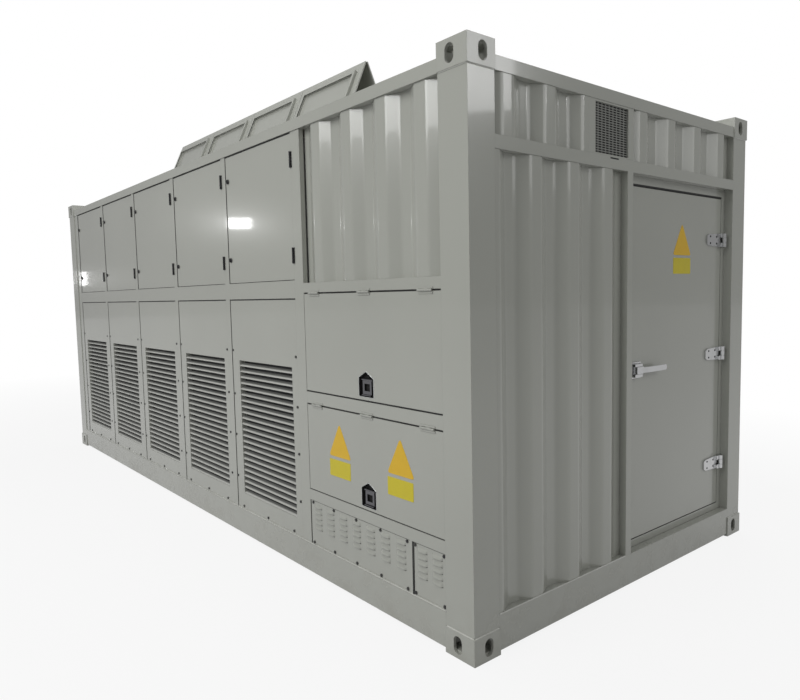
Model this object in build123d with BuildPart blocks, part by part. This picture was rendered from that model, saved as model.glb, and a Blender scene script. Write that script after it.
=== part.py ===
"""Containerised generator load bank: steel frame, hatches, doors, resistor bays and fans.

Millimetres. +X is the long way towards the end door, -Y the side with the opening doors, +Z up.
The origin is the middle of the footprint, on the ground.
"""
import math
import os

from build123d import *

os.makedirs("parts", exist_ok=True)

# ---------------------------------------------------------------- driving dimensions
length = 6058.0            # over the corner castings
width = 2438.0
height = 2591.0            # to the top of the corner castings, roof lids down
half_l, half_w = length / 2, width / 2

cast_l, cast_w, cast_h = 178.0, 162.0, 118.0
cast_wall, cast_plate = 16.0, 28.0
slot_l, slot_w = 124.0, 63.5           # lifting apertures
slot_dx, slot_dy = 5853.0 / 2, 2259.0 / 2
side_hole_w, side_hole_h = 51.0, 79.5
proud = 6.0                            # castings stand this far outside posts and rails

post_x0, post_x1 = half_l - cast_l, half_l - proud
post_y0, post_y1 = half_w - cast_w, half_w - proud
wall_t = 8.0
rail_h = 60.0
rail_top = 2533.0
sill_z0, sill_z1 = 16.0, 178.0
roof_z = 2511.0
floor_z0, floor_z1 = 160.0, 166.0

face_y = half_w - 12.0                 # face of the wall framing
frame_d = 28.0                         # framing depth beside the doors
gap = 3.0

bays = 5
bay_pitch = 889.0
door_w, door_z0, door_z1 = 816.0, 1666.0, 2465.0
door_x = 829.0                         # left edge of the bay nearest the control end
door_face = face_y - 2.0
door_depth = 23.0
hinge_z = (2324.0, 1800.0)
hinge_len = 88.0
hinge_r, hinge_pin = 5.0, 2.5
run_fit = 0.05
latch_z = (2313.0, 1814.0)
latch_inset = 30.0
latch_r = 15.0

mid_z0, mid_z1 = 1562.0, 1663.0
col_x0, col_x1 = 1648.0, 1740.0        # column between resistor bays and control room
panel_z0, panel_z1 = 180.0, 1560.0
panel_w = 830.0
panel_face = face_y - 3.0
louvre_x0, louvre_x1 = 100.0, 765.0    # measured from the panel's left edge
louvre_z0, louvre_z1 = 289.0, 1168.0
blades = 23
blade_reach, blade_t = 18.0, 2.5         # each blade slopes at 45 degrees

flap_x0, flap_x1 = 1744.0, 2848.0
flap_upper_z = (1055.0, 1584.0)
flap_lower_z = (500.0, 975.0)
flap_hinges = (1847.0, 2297.0, 2747.0)
flap_hinge_len = 95.0
dish_x, dish_w, dish_h, dish_d = 2295.0, 120.0, 126.0, 20.0
dish_z = (1134.0, 577.0)

wave_pitch, wave_crest, wave_slope, wave_depth, sheet_t = 278.0, 74.0, 68.0, 36.0, 4.0

end_rail_z = (2160.0, 2218.0)
leaf_y0, leaf_y1, leaf_z0, leaf_z1 = 8.0, 1010.0, 224.0, 2105.0
leaf_x, leaf_t = 2974.0, 60.0
pivot_x, pivot_y = 2996.0, 1012.0
end_hinge_z = (1857.0, 1169.0, 487.0)

lids = 4
lid_w, lid_len = 885.0, 832.0
lid_x = -2782.0                        # left edge of the first lid
bay_x = -2727.0                        # left edge of the first resistor bay
lid_y, lid_z = 351.4, 2566.0           # hinge line
lid_angle = 66.0                       # standing open, from the horizontal
lid_skin, lid_hem = 3.0, 13.0          # skin and hem, measured back from the hinge line
lid_edge = 12.0
stiff_in, stiff_w, stiff_h = 70.0, 26.0, 19.0

fan_z = 600.0
fan_tip = 330.0
shroud_r = 345.0


# ---------------------------------------------------------------- plain stock
def block(x0, x1, y0, y1, z0, z1):
    """One square-edged solid between two corners."""
    with BuildPart() as stock:
        with Locations(((x0 + x1) / 2, (y0 + y1) / 2, (z0 + z1) / 2)):
            Box(abs(x1 - x0), abs(y1 - y0), abs(z1 - z0))
    return stock.part


def cut(x0, x1, y0, y1, z0, z1, mode=Mode.SUBTRACT):
    """Take a square-edged block out of the piece being made, or add one."""
    with Locations(((x0 + x1) / 2, (y0 + y1) / 2, (z0 + z1) / 2)):
        Box(abs(x1 - x0), abs(y1 - y0), abs(z1 - z0), mode=mode)


def tube(axis, lo, hi, a0, a1, b0, b1, t):
    """Square tube along X, Y or Z; a and b are the two other directions in X, Y, Z order."""
    planes = {"X": Plane.YZ, "Y": Plane.XZ, "Z": Plane.XY}
    start = -hi if axis == "Y" else lo
    with BuildPart() as stock:
        with BuildSketch(planes[axis].offset(start)):
            with Locations(((a0 + a1) / 2, (b0 + b1) / 2)):
                Rectangle(abs(a1 - a0), abs(b1 - b0))
                Rectangle(abs(a1 - a0) - 2 * t, abs(b1 - b0) - 2 * t, mode=Mode.SUBTRACT)
        extrude(amount=hi - lo)
    return stock.part


def channel(x0, x1, y_web, z0, z1, flange, t, along_y=False):
    """C-section with its web outside and two flanges turned in."""
    s = -1 if y_web > 0 else 1
    with BuildPart() as stock:
        with BuildSketch(Plane.XZ.offset(-x1) if along_y else Plane.YZ.offset(x0)):
            with BuildLine():
                Polyline((y_web, z0), (y_web + s * flange, z0), (y_web + s * flange, z0 + t),
                         (y_web + s * t, z0 + t), (y_web + s * t, z1 - t),
                         (y_web + s * flange, z1 - t), (y_web + s * flange, z1), (y_web, z1),
                         close=True)
            make_face()
        extrude(amount=x1 - x0)
    return stock.part


def wave(u, first, pitch):
    """How far the sheet lies behind its outer plane at u."""
    phase = abs((u - first) - pitch * round((u - first) / pitch))
    return wave_depth * min(1.0, max(0.0, (phase - wave_crest / 2) / wave_slope))


def corrugated(u0, u1, z0, z1, face, first, pitch=wave_pitch, across=False):
    """Folded sheet from u0 to u1 behind the plane `face`; across: it runs along Y."""
    folds = [u0, u1]
    for k in range(-30, 31):
        centre = first + pitch * k
        for step in (wave_crest / 2, wave_crest / 2 + wave_slope):
            folds += [u for u in (centre - step, centre + step) if u0 + 1 < u < u1 - 1]
    folds.sort()
    s = 1 if face > 0 else -1
    outer = [(u, face - s * wave(u, first, pitch)) for u in folds]
    inner = [(u, v - s * sheet_t) for u, v in reversed(outer)]
    ring = [(v, u) if across else (u, v) for u, v in outer + inner]
    with BuildPart() as sheet:
        with BuildSketch(Plane.XY.offset(z0)):
            with BuildLine():
                Polyline(*ring, close=True)
            make_face()
        extrude(amount=z1 - z0)
    return sheet.part


def save(shape, name):
    """Name a finished piece and write its STEP file."""
    shape.label = name
    export_step(shape, f"parts/{name}.step")


def gather(name, pieces):
    """Write several separate solids as one named piece."""
    save(Compound(label=name, children=pieces), name)


# ---------------------------------------------------------------- frame
def casting(sx, sy, z0, up):
    """Corner casting: hollow block, lifting slot outward (up or down), two oval side holes."""
    x0, x1 = sx * (half_l - cast_l), sx * half_l
    y0, y1 = sy * (half_w - cast_w), sy * half_w
    z1 = z0 + cast_h
    slot_z = z1 if up else z0
    with BuildPart() as body:
        cut(x0, x1, y0, y1, z0, z1, Mode.ADD)
        cut(x0 + sx * cast_wall, x1 - sx * cast_wall, y0 + sy * cast_wall, y1 - sy * cast_wall,
            z0 + (cast_wall if up else cast_plate), z1 - (cast_plate if up else cast_wall))
        with BuildSketch(Plane.XY.offset(slot_z)):
            with Locations((sx * slot_dx, sy * slot_dy)):
                SlotOverall(slot_l, slot_w)
        extrude(amount=-cast_plate - 1 if up else cast_plate + 1, mode=Mode.SUBTRACT)
        with BuildSketch(Plane.XZ.offset(-y1)):
            with Locations((sx * (half_l - 101.5), (z0 + z1) / 2)):
                SlotOverall(side_hole_h, side_hole_w, rotation=90)
        extrude(amount=sy * (cast_wall + 1), mode=Mode.SUBTRACT)
        with BuildSketch(Plane.YZ.offset(x1)):
            with Locations((sy * (half_w - 89.0), (z0 + z1) / 2)):
                SlotOverall(side_hole_h, side_hole_w, rotation=90)
        extrude(amount=-sx * (cast_wall + 1), mode=Mode.SUBTRACT)
    return body.part


def castings(z0, up):
    """Four castings at one level."""
    return [casting(sx, sy, z0, up) for sx in (-1, 1) for sy in (-1, 1)]


def corner_posts():
    """Four hollow posts between the castings."""
    z0, z1 = cast_h, height - cast_h
    posts = []
    for sx in (-1, 1):
        for sy in (-1, 1):
            xs, ys = sorted((sx * post_x0, sx * post_x1)), sorted((sy * post_y0, sy * post_y1))
            posts.append(tube("Z", z0, z1, *xs, *ys, wall_t))
    return posts


def top_rails():
    """Square tubes joining the posts at the roof."""
    rails = []
    for s in (-1, 1):
        ys = sorted((s * (post_y1 - rail_h), s * post_y1))
        rails.append(tube("X", -post_x0, post_x0, *ys, rail_top - rail_h, rail_top, 5))
        xs = sorted((s * (post_x1 - rail_h), s * post_x1))
        rails.append(tube("Y", -post_y0, post_y0, *xs, rail_top - rail_h, rail_top, 5))
    return rails


def bottom_rails():
    """Channels joining the posts at the floor."""
    rails = []
    for s in (-1, 1):
        rails.append(channel(-post_x0, post_x0, s * post_y1, sill_z0, sill_z1, 48, 6))
        rails.append(channel(-post_y0, post_y0, s * post_x1, sill_z0, sill_z1, 48, 6, along_y=True))
    return rails


def crossmembers():
    """Channels carrying the floor."""
    count = 13
    beams = []
    for k in range(count):
        x = -2640 + k * 440.0
        beams.append(tube("Y", -1160, 1160, x - 22, x + 22, 40, floor_z0, 4))
    return beams


def floor_plate():
    """Floor sheet, notched round the posts."""
    with BuildPart() as floor:
        cut(-2960, 2960, -1040, 1040, floor_z0, floor_z1, Mode.ADD)
        cut(-2840, 2840, -1160, 1160, floor_z0, floor_z1, Mode.ADD)
    return floor.part


# ---------------------------------------------------------------- walls
def tee_mullion(x0, x1, z0, z1, s):
    """Upright with a narrow nose between two panels and a wide back behind their edges."""
    with BuildPart() as upright:
        cut(x0 - 30, x1 + 30, s * (panel_face - 4), s * (panel_face - 44), z0, z1, Mode.ADD)
        cut(x0, x1, s * face_y, s * (panel_face - 5), z0, z1, Mode.ADD)
    return upright.part


def wall_frames():
    """All fixed wall members between posts and rails."""
    members = []
    left = -post_x0
    first = door_x - 4 - bay_pitch * (bays - 1)
    top = rail_top - rail_h
    for s in (-1, 1):
        back = s * (face_y - frame_d)
        members.append(block(left, first - 13, s * face_y, back, sill_z1, top))
        members.append(block(first - 13, first, s * face_y, back, mid_z0, top))
        members.append(block(col_x0, col_x1, s * face_y, back, sill_z1, top))
        members.append(block(first, col_x0, s * face_y, back, mid_z0, mid_z1))
        for k in range(1, bays):
            x1 = door_x - 4 - bay_pitch * (k - 1)
            x0 = x1 - 66
            members.append(block(x0, x1, s * face_y, back, mid_z1, top))
            members.append(tee_mullion(x0 - 3, x1 - 10, sill_z1, mid_z0, s))
    y0, y1 = -face_y, -face_y + 50
    members.append(block(col_x1, post_x0, y0, y1, 1592, 1645))
    members.append(block(col_x1, post_x0, y0, y1, 983, 1047))
    members.append(block(col_x1, post_x0, y0, y1, 434, 494))
    members.append(block(col_x1, col_x1 + 26, y1 - 30, y1, 494, 983))
    members.append(block(col_x1, col_x1 + 26, y1 - 30, y1, 1047, 1592))
    members.append(block(post_x0 - 26, post_x0, y1 - 30, y1, 494, 983))
    members.append(block(post_x0 - 26, post_x0, y1 - 30, y1, 1047, 1592))
    members.append(block(2604, 2628, y0, y1, sill_z1, 434))
    x0, x1 = post_x1 - 58, post_x1
    members.append(block(x0, x1, -post_y0, post_y0, *end_rail_z))
    members.append(block(x0, x1, -84, -34, sill_z1, end_rail_z[0]))
    return members


def vent_surround():
    """Flat panel round the end vent, with its opening."""
    with BuildPart() as panel:
        cut(post_x1 - 8, post_x1 - 2, -410, -29, end_rail_z[1], 2473, Mode.ADD)
        cut(post_x1 - 10, post_x1, -355, -77, 2226, 2463)
    return panel.part


def corrugated_walls():
    """Folded sheets: side, both ends and the back of the control room."""
    top = rail_top - rail_h
    end = post_x1 - 3
    return [
        corrugated(col_x1, post_x0, 1645, top, -(face_y - 2), 1895),
        corrugated(col_x1, post_x0, sill_z1, top, face_y - 2, 1895),
        corrugated(-post_y0, -84, sill_z1, end_rail_z[0], end, -792, 272, across=True),
        corrugated(-post_y0, -410, end_rail_z[1], top, end, -973, across=True),
        corrugated(-29, post_y0, end_rail_z[1], top, end, 62, 280, across=True),
        corrugated(-post_y0, post_y0, sill_z1, top, -end, -834, across=True),
        vent_surround(),
    ]


def vent_grille():
    """Rectangular grille in the end wall: a frame crossed by fine square mesh."""
    with BuildPart() as grille:
        cut(post_x1 - 14, post_x1 - 9, -365, -67, 2219, 2471, Mode.ADD)
        with BuildSketch(Plane.YZ.offset(post_x1 - 9)):
            with Locations((-216, 2344.5)):
                with GridLocations(22, 22, 12, 10):
                    Rectangle(17, 17)
        extrude(amount=-5, mode=Mode.SUBTRACT)
    return grille.part


def door_portal():
    """Recessed frame round the end door."""
    y0, y1, z0, z1 = -34.0, post_y0, sill_z1, end_rail_z[0]
    with BuildPart() as portal:
        cut(leaf_x - 48, leaf_x, y0, y1, z0, z1, Mode.ADD)
        cut(leaf_x - 50, leaf_x + 2, leaf_y0 - 7, leaf_y1 + 6, leaf_z0 - 6, leaf_z1 + 6)
    return portal.part


def roof_deck():
    """Roof sheet with the hatch holes, and a raised kerb round each."""
    with BuildPart() as deck:
        cut(-2960, 2960, -1055, 1055, roof_z - 6, roof_z, Mode.ADD)
        cut(-post_x0, post_x0, -1153, 1153, roof_z - 6, roof_z, Mode.ADD)
        for s in (-1, 1):
            for k in range(lids):
                x0 = lid_x + bay_pitch * k + 16
                x1 = x0 + lid_w - 32
                cut(x0, x1, s * 373, s * 1148, roof_z, lid_z - 8, Mode.ADD)
                cut(x0 + 5, x1 - 5, s * 378, s * 1143, roof_z - 10, lid_z)
        for s in (-1, 1):
            for k in range(lids):
                for dx in (150.0, lid_w - 150.0):
                    x = lid_x + bay_pitch * k + dx
                    cut(x - 14, x + 14, s * (lid_y - 7), s * (lid_y + 7), roof_z, lid_z + 7,
                        Mode.ADD)
                    with BuildSketch(Plane.YZ.offset(x - 40)):
                        with Locations((s * lid_y, lid_z)):
                            Circle(4)
                    extrude(amount=80)
    return deck.part


# ---------------------------------------------------------------- fixed panels
def louvre_panel(x0, s):
    """Bolted lower panel with a rectangular louvre opening and a folded lip round it."""
    y = s * panel_face
    a, b = x0 + louvre_x0, x0 + louvre_x1
    with BuildPart() as panel:
        cut(x0, x0 + panel_w, y, y - s * 3, panel_z0, panel_z1, Mode.ADD)
        cut(a - 4, b + 4, y - s * 2, y - s * 44, louvre_z0 - 4, louvre_z1 + 4, Mode.ADD)
        cut(a, b, y + s, y - s * 50, louvre_z0, louvre_z1)
    return panel.part


def louvre_bank(x0, s):
    """Sloping blades filling one opening."""
    pitch = (louvre_z1 - louvre_z0) / blades
    y = s * (panel_face - 1)
    with BuildPart() as bank:
        with BuildSketch(Plane.YZ.offset(x0 + louvre_x0)):
            for k in range(blades):
                z = louvre_z0 + pitch * k + 1
                with BuildLine():
                    Polyline((y, z), (y, z + blade_t), (y - s * blade_reach, z + blade_reach + blade_t),
                             (y - s * blade_reach, z + blade_reach), close=True)
                make_face()
        extrude(amount=louvre_x1 - louvre_x0)
    return bank.part


def louvre_screen(x0, s):
    """Fine screen behind the blades, as a plain sheet."""
    y = s * (panel_face - 38)
    return block(x0 + louvre_x0, x0 + louvre_x1, y, y - s * 3, louvre_z0, louvre_z1)


def panel_lefts():
    """Left edges of the lower panels."""
    return [door_x - 14 - bay_pitch * k for k in range(bays)]


def rear_upper_panels():
    """Fixed flat panels closing the upper bays on the far side."""
    panels = []
    for k in range(bays):
        x0 = door_x - bay_pitch * k
        with BuildPart() as panel:
            cut(x0, x0 + door_w, door_face, door_face - door_depth, door_z0, door_z1, Mode.ADD)
            cut(x0 + 3, x0 + door_w - 3, door_face - 3, door_face - door_depth - 1, door_z0 + 3,
                door_z1 - 3)
        panels.append(panel.part)
    return panels


def bolt_spots():
    """Centres of the hexagon heads: x, z, and the side they are on."""
    spots = []
    for s in (-1, 1):
        for x0 in panel_lefts():
            spots += [(x0 + dx, z, s) for dx in (14.0, 816.0) for z in (1231.0, 944.0, 672.0, 394.0)]
            spots += [(x0 + dx, 199.0, s) for dx in (85.0, 415.0, 730.0)]
    for z in (422.5, 194.0):
        spots += [(1768 + 204.0 * k, z, -1) for k in range(5)]
        spots += [(2642.0, z, -1), (2836.0, z, -1)]
    return spots


def panel_bolts():
    """Hexagon bolt heads on the fixed panels."""
    with BuildPart() as bolts:
        for s in (-1, 1):
            with BuildSketch(Plane.XZ.offset(-s * panel_face)):
                with Locations(*[(x, z) for x, z, side in bolt_spots() if side == s]):
                    RegularPolygon(8, 6)
            extrude(amount=-s * 5)
    return bolts.part


def vent_panels():
    """Two low plates with rows of pressed louvres."""
    y = -panel_face
    plates = []
    for x0, x1, spots, long in ((1744.0, 2602.0, [1818.0 + 120 * k for k in range(7)], 72.0),
                                (2630.0, 2848.0, [2690.0, 2792.0], 68.0)):
        with BuildPart() as plate:
            cut(x0, x1, y, y + 3, panel_z0 + 2, 432, Mode.ADD)
            for x in spots:
                with BuildSketch(Plane.YZ.offset(x - long / 2)):
                    for k in range(5):
                        z = 279.0 + 30.0 * k
                        with BuildLine():
                            Polyline((y + 1, z), (y + 1, z + 14), (y - 7, z + 2), (y - 7, z),
                                     close=True)
                        make_face()
                extrude(amount=long)
        plates.append(plate.part)
    return plates


# ---------------------------------------------------------------- hinges
def door_hinge_edges():
    """Hinged edge of each opening door."""
    return [door_x + door_w - bay_pitch * k for k in range(bays)]


def frame_hinges():
    """Fixed leaves with their pins, for the side doors and the two flaps."""
    axis_y = -face_y - 6.5
    leaf_y = -face_y - 2.5
    leaves = []
    for edge in door_hinge_edges():
        for zc in hinge_z:
            x = edge + 4
            with BuildPart() as leaf:
                cut(x + 5.5, x + 12, leaf_y, -face_y, zc - hinge_len / 2, zc + hinge_len / 2,
                    Mode.ADD)
                cut(x, x + 6, axis_y + 2, axis_y + 5, zc - 14, zc + 14, Mode.ADD)
                with BuildSketch(Plane.XY.offset(zc - 14)):
                    with Locations((x, axis_y)):
                        Circle(hinge_r)
                extrude(amount=28)
                with BuildSketch(Plane.XY.offset(zc - hinge_len / 2)):
                    with Locations((x, axis_y)):
                        Circle(hinge_pin)
                extrude(amount=hinge_len)
            leaves.append(leaf.part)
    for zt in (flap_upper_z[1] + 4, flap_lower_z[1] + 4):
        for xc in flap_hinges:
            with BuildPart() as leaf:
                cut(xc - flap_hinge_len / 2, xc + flap_hinge_len / 2, leaf_y, -face_y, zt + 5.5,
                    zt + 15, Mode.ADD)
                cut(xc - 14, xc + 14, axis_y + 2, axis_y + 5, zt, zt + 6, Mode.ADD)
                with BuildSketch(Plane.YZ.offset(xc - 14)):
                    with Locations((axis_y, zt)):
                        Circle(hinge_r)
                extrude(amount=28)
                with BuildSketch(Plane.YZ.offset(xc - flap_hinge_len / 2)):
                    with Locations((axis_y, zt)):
                        Circle(hinge_pin)
                extrude(amount=flap_hinge_len)
            leaves.append(leaf.part)
    return leaves


def side_door(k):
    """Pressed door: folded pan, inner stiffener, hinge leaves and two latch holes."""
    x0 = door_x - bay_pitch * k
    x1 = x0 + door_w
    y = -door_face
    xa, ya = x1 + 4, -face_y - 6.5
    with BuildPart() as door:
        cut(x0, x1, y, y + door_depth, door_z0, door_z1, Mode.ADD)
        cut(x0 + 3, x1 - 3, y + 3, y + door_depth + 1, door_z0 + 3, door_z1 - 3)
        for xs in (x0 + 190, x1 - 220):
            cut(xs, xs + 30, y + 2, y + 18, door_z0 + 2, door_z1 - 2, Mode.ADD)
        for zc in hinge_z:
            h = hinge_len / 2
            cut(x1 - 7, x1, y, -face_y - 2.5, zc - h, zc + h, Mode.ADD)
            for z0 in (zc - h, zc + 14.5):
                cut(x1 - 1, xa, ya + 1, -face_y - 2.5, z0, z0 + h - 14.5, Mode.ADD)
                with BuildSketch(Plane.XY.offset(z0)):
                    with Locations((xa, ya)):
                        Circle(hinge_r)
                extrude(amount=h - 14.5)
            with BuildSketch(Plane.XY.offset(zc - h - 1)):
                with Locations((xa, ya)):
                    Circle(hinge_pin + run_fit)
            extrude(amount=2 * h + 2, mode=Mode.SUBTRACT)
        with BuildSketch(Plane.XZ.offset(-y + 1)):
            with Locations(*[(x0 + latch_inset, z) for z in latch_z]):
                Circle(7.5)
        extrude(amount=-6, mode=Mode.SUBTRACT)
    return door.part


def latch(k, z):
    """Quarter-turn latch: round knob with a wing, shaft and inner cam standing up."""
    x = door_x - bay_pitch * k + latch_inset
    y = -door_face
    with BuildPart() as knob:
        with BuildSketch(Plane.XZ.offset(-y + 0.5)):
            with Locations((x, z)):
                Circle(latch_r)
        extrude(amount=6.5)
        chamfer(knob.faces().sort_by(Axis.Y)[0].edges(), 2)
        cut(x - 3.5, x + 3.5, y - 12, y - 6, z - 12, z + 12, Mode.ADD)
        with BuildSketch(Plane.XZ.offset(-y + 1)):
            with Locations((x, z)):
                Circle(6.5)
        extrude(amount=-36)
        cut(x - 8, x + 8, y + 31, y + 35, z - 8, z + 44, Mode.ADD)
    return knob.part


def flap(z0, z1, zd):
    """Top-hung flap: folded pan with hinge leaves and a house-shaped latch dish."""
    y = -face_y
    ya, za = -face_y - 6.5, z1 + 4
    with BuildPart() as panel:
        cut(flap_x0, flap_x1, y, y + 18, z0, z1, Mode.ADD)
        cut(flap_x0 + 3, flap_x1 - 3, y + 3, y + 19, z0 + 3, z1 - 3)
        for xs in (flap_x0 + 260, flap_x1 - 290):
            cut(xs, xs + 30, y + 2, y + 16, z0 + 2, z1 - 2, Mode.ADD)
        for xc in flap_hinges:
            h = flap_hinge_len / 2
            cut(xc - h, xc + h, y - 2.5, y, z1 - 13, z1, Mode.ADD)
            for x0 in (xc - h, xc + 14.5):
                cut(x0, x0 + h - 14.5, ya + 1, y - 1, z1 - 1, za, Mode.ADD)
                with BuildSketch(Plane.YZ.offset(x0)):
                    with Locations((ya, za)):
                        Circle(hinge_r)
                extrude(amount=h - 14.5)
            with BuildSketch(Plane.YZ.offset(xc - h - 1)):
                with Locations((ya, za)):
                    Circle(hinge_pin + run_fit)
            extrude(amount=2 * h + 2, mode=Mode.SUBTRACT)
        for grow, depth, mode in ((3.0, dish_d + 3, Mode.ADD), (0.0, dish_d, Mode.SUBTRACT)):
            w, h = dish_w / 2 + grow, dish_h / 2 + grow
            with BuildSketch(Plane.XZ.offset(-y + (0 if grow else 1))):
                with BuildLine():
                    Polyline((dish_x - w, zd - h), (dish_x + w, zd - h), (dish_x + w, zd + h * 0.5),
                             (dish_x, zd + h), (dish_x - w, zd + h * 0.5), close=True)
                make_face()
            extrude(amount=-(depth + (0 if grow else 1)), mode=mode)
    return panel.part


def paddle(zd):
    """Pull paddle in the dish: plate with a turned-out lower lip on a cross pin."""
    y = -face_y
    zp = zd + 22
    with BuildPart() as pull:
        cut(dish_x - 36, dish_x + 36, y + 6, y + 10, zd - 52, zp, Mode.ADD)
        cut(dish_x - 22, dish_x + 22, y + 5, y + 11, zd - 34, zd + 2)
        cut(dish_x - 36, dish_x + 36, y - 1, y + 10, zd - 56, zd - 52, Mode.ADD)
        with BuildSketch(Plane.YZ.offset(dish_x - 42)):
            with Locations((y + 10, zp)):
                Circle(6)
        extrude(amount=84)
    return pull.part


def end_door():
    """Insulated end door leaf."""
    with BuildPart() as leaf:
        cut(leaf_x - leaf_t, leaf_x, leaf_y0, leaf_y1, leaf_z0, leaf_z1, Mode.ADD)
        cut(leaf_x - leaf_t - 1, leaf_x - 4, leaf_y0 + 30, leaf_y1 - 30, leaf_z0 + 30, leaf_z1 - 30)
        cut(leaf_x - leaf_t + 2, leaf_x - leaf_t + 6, leaf_y0 + 28, leaf_y1 - 28, leaf_z0 + 28,
            leaf_z1 - 28, Mode.ADD)
        fillet(leaf.edges().filter_by(Axis.X).sort_by(Axis.Y)[0], 6)
    return leaf.part


def end_door_fittings():
    """Three hinge straps with their barrels, and the lever latch's body."""
    parts = []
    for zc in end_hinge_z:
        with BuildPart() as strap:
            with BuildSketch(Plane.YZ.offset(leaf_x)):
                with BuildLine():
                    Polyline((828, zc - 22), (850, zc - 34), (1000, zc - 40), (1000, zc + 40),
                             (850, zc + 34), (828, zc + 22), close=True)
                make_face()
            extrude(amount=10)
            cut(leaf_x, pivot_x, 968, pivot_y, zc - 40, zc - 16, Mode.ADD)
            cut(leaf_x, pivot_x, 968, pivot_y, zc + 16, zc + 40, Mode.ADD)
            for z0 in (zc - 40, zc + 16):
                with BuildSketch(Plane.XY.offset(z0)):
                    with Locations((pivot_x, pivot_y)):
                        Circle(13)
                extrude(amount=24)
            cut(leaf_x - 1, leaf_x + 60, 990, 1030, zc - 15.5, zc + 15.5)
            with BuildSketch(Plane.XY.offset(zc - 41)):
                with Locations((pivot_x, pivot_y)):
                    Circle(6 + run_fit)
            extrude(amount=82, mode=Mode.SUBTRACT)
        parts.append(strap.part)
    with BuildPart() as body:
        cut(leaf_x, leaf_x + 10, 14, 112, 1100, 1186, Mode.ADD)
        cut(leaf_x, leaf_x + 34, 22, 92, 1108, 1122, Mode.ADD)
        cut(leaf_x, leaf_x + 34, 22, 92, 1164, 1178, Mode.ADD)
        with BuildSketch(Plane.XY.offset(1107)):
            with Locations((leaf_x + 24, 46)):
                Circle(6 + run_fit)
        extrude(amount=72, mode=Mode.SUBTRACT)
    parts.append(body.part)
    return parts


def end_door_lever():
    """Pull lever on an upright pin."""
    with BuildPart() as lever:
        with BuildSketch(Plane.XY.offset(1108.5)):
            with Locations((leaf_x + 24, 46)):
                Circle(6)
        extrude(amount=69)
        cut(leaf_x + 13, leaf_x + 36, 38, 96, 1124, 1162, Mode.ADD)
        with BuildSketch(Plane.XY.offset(1128)):
            with BuildLine():
                Polyline((leaf_x + 20, 90), (leaf_x + 36, 90), (leaf_x + 46, 150),
                         (leaf_x + 46, 316), (leaf_x + 38, 316), (leaf_x + 38, 152), close=True)
            make_face()
        extrude(amount=30)
        fillet(lever.edges().filter_by(Axis.X).group_by(Axis.Y)[-1], 12)
    return lever.part


def end_door_brackets():
    """Hinge brackets with pins on the frame, and the keeper by the latch."""
    parts = []
    for zc in end_hinge_z:
        with BuildPart() as bracket:
            cut(leaf_x, leaf_x + 8, 1018, 1052, zc - 40, zc + 40, Mode.ADD)
            cut(leaf_x, pivot_x + 4, 1018, 1034, zc - 14.5, zc + 14.5, Mode.ADD)
            cut(pivot_x - 8, pivot_x + 8, pivot_y, 1034, zc - 14.5, zc + 14.5, Mode.ADD)
            with BuildSketch(Plane.XY.offset(zc - 14.5)):
                with Locations((pivot_x, pivot_y)):
                    Circle(13)
            extrude(amount=29)
            with BuildSketch(Plane.XY.offset(zc - 40)):
                with Locations((pivot_x, pivot_y)):
                    Circle(6)
            extrude(amount=80)
        parts.append(bracket.part)
    with BuildPart() as keeper:
        cut(leaf_x, leaf_x + 30, -32, -4, 1112, 1174, Mode.ADD)
        cut(leaf_x + 8, leaf_x + 22, -18, 0, 1126, 1160)
    parts.append(keeper.part)
    return parts


# ---------------------------------------------------------------- roof lids
def lid(k, s):
    """Roof lid standing open: folded edge, inset stiffening frame, ribs and hinge ears.

    s is -1 for the row on the door side, which leans towards the middle.
    """
    lean = math.radians(lid_angle)
    x = lid_x + bay_pitch * k + lid_w / 2
    along = (0, -s * math.cos(lean), math.sin(lean))
    plane = Plane(origin=(x, s * lid_y, lid_z), x_dir=(-s, 0, 0),
                  z_dir=(0, s * math.sin(lean), math.cos(lean)))
    hw, w0, w1 = lid_w / 2, -lid_hem, -lid_skin
    v0, v1 = lid_edge, lid_len
    with BuildPart(plane) as cover:
        cut(-hw, hw, v0, v1, w0, w1, Mode.ADD)
        cut(-hw + 2.5, hw - 2.5, v0 + 2.5, v1 - 2.5, w0 - 1, w1 - 3)
        for inset, mode in ((stiff_in, Mode.ADD), (stiff_in + stiff_w, Mode.SUBTRACT)):
            cut(-hw + inset, hw - inset, v0 + inset, v1 - inset, w1, stiff_h, mode)
        inner = stiff_in + 3
        cut(-hw + inner, hw - inner, v0 + inner, v1 - inner, w1, stiff_h - 3)
        for inset, mode in ((stiff_in + stiff_w - 3, Mode.ADD), (stiff_in + stiff_w, Mode.SUBTRACT)):
            cut(-hw + inset, hw - inset, v0 + inset, v1 - inset, w1, stiff_h - 8, mode)
        for u in (150.0 - hw, hw - 150.0):
            for du in (-30.0, 16.0):
                cut(u + du, u + du + 14, -8, v0 + 30, w0, 6, Mode.ADD)
            with BuildSketch(Plane(origin=plane.from_local_coords((u - 40, 0, 0)),
                                   z_dir=plane.x_dir)):
                Circle(4 + run_fit)
            extrude(amount=80, mode=Mode.SUBTRACT)
    return cover.part


# ---------------------------------------------------------------- inside
def bay_centres():
    """Middle of each resistor bay."""
    return [bay_x + bay_pitch * k + door_w / 2 for k in range(lids)]


def resistor_racks():
    """Four uprights and two side plates for each bank of resistors."""
    members = []
    for xc in bay_centres():
        for dx in (-370.0, 340.0):
            for y in (-860.0, 830.0):
                members.append(block(xc + dx, xc + dx + 30, y, y + 30, 780, 2300))
    return members


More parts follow.
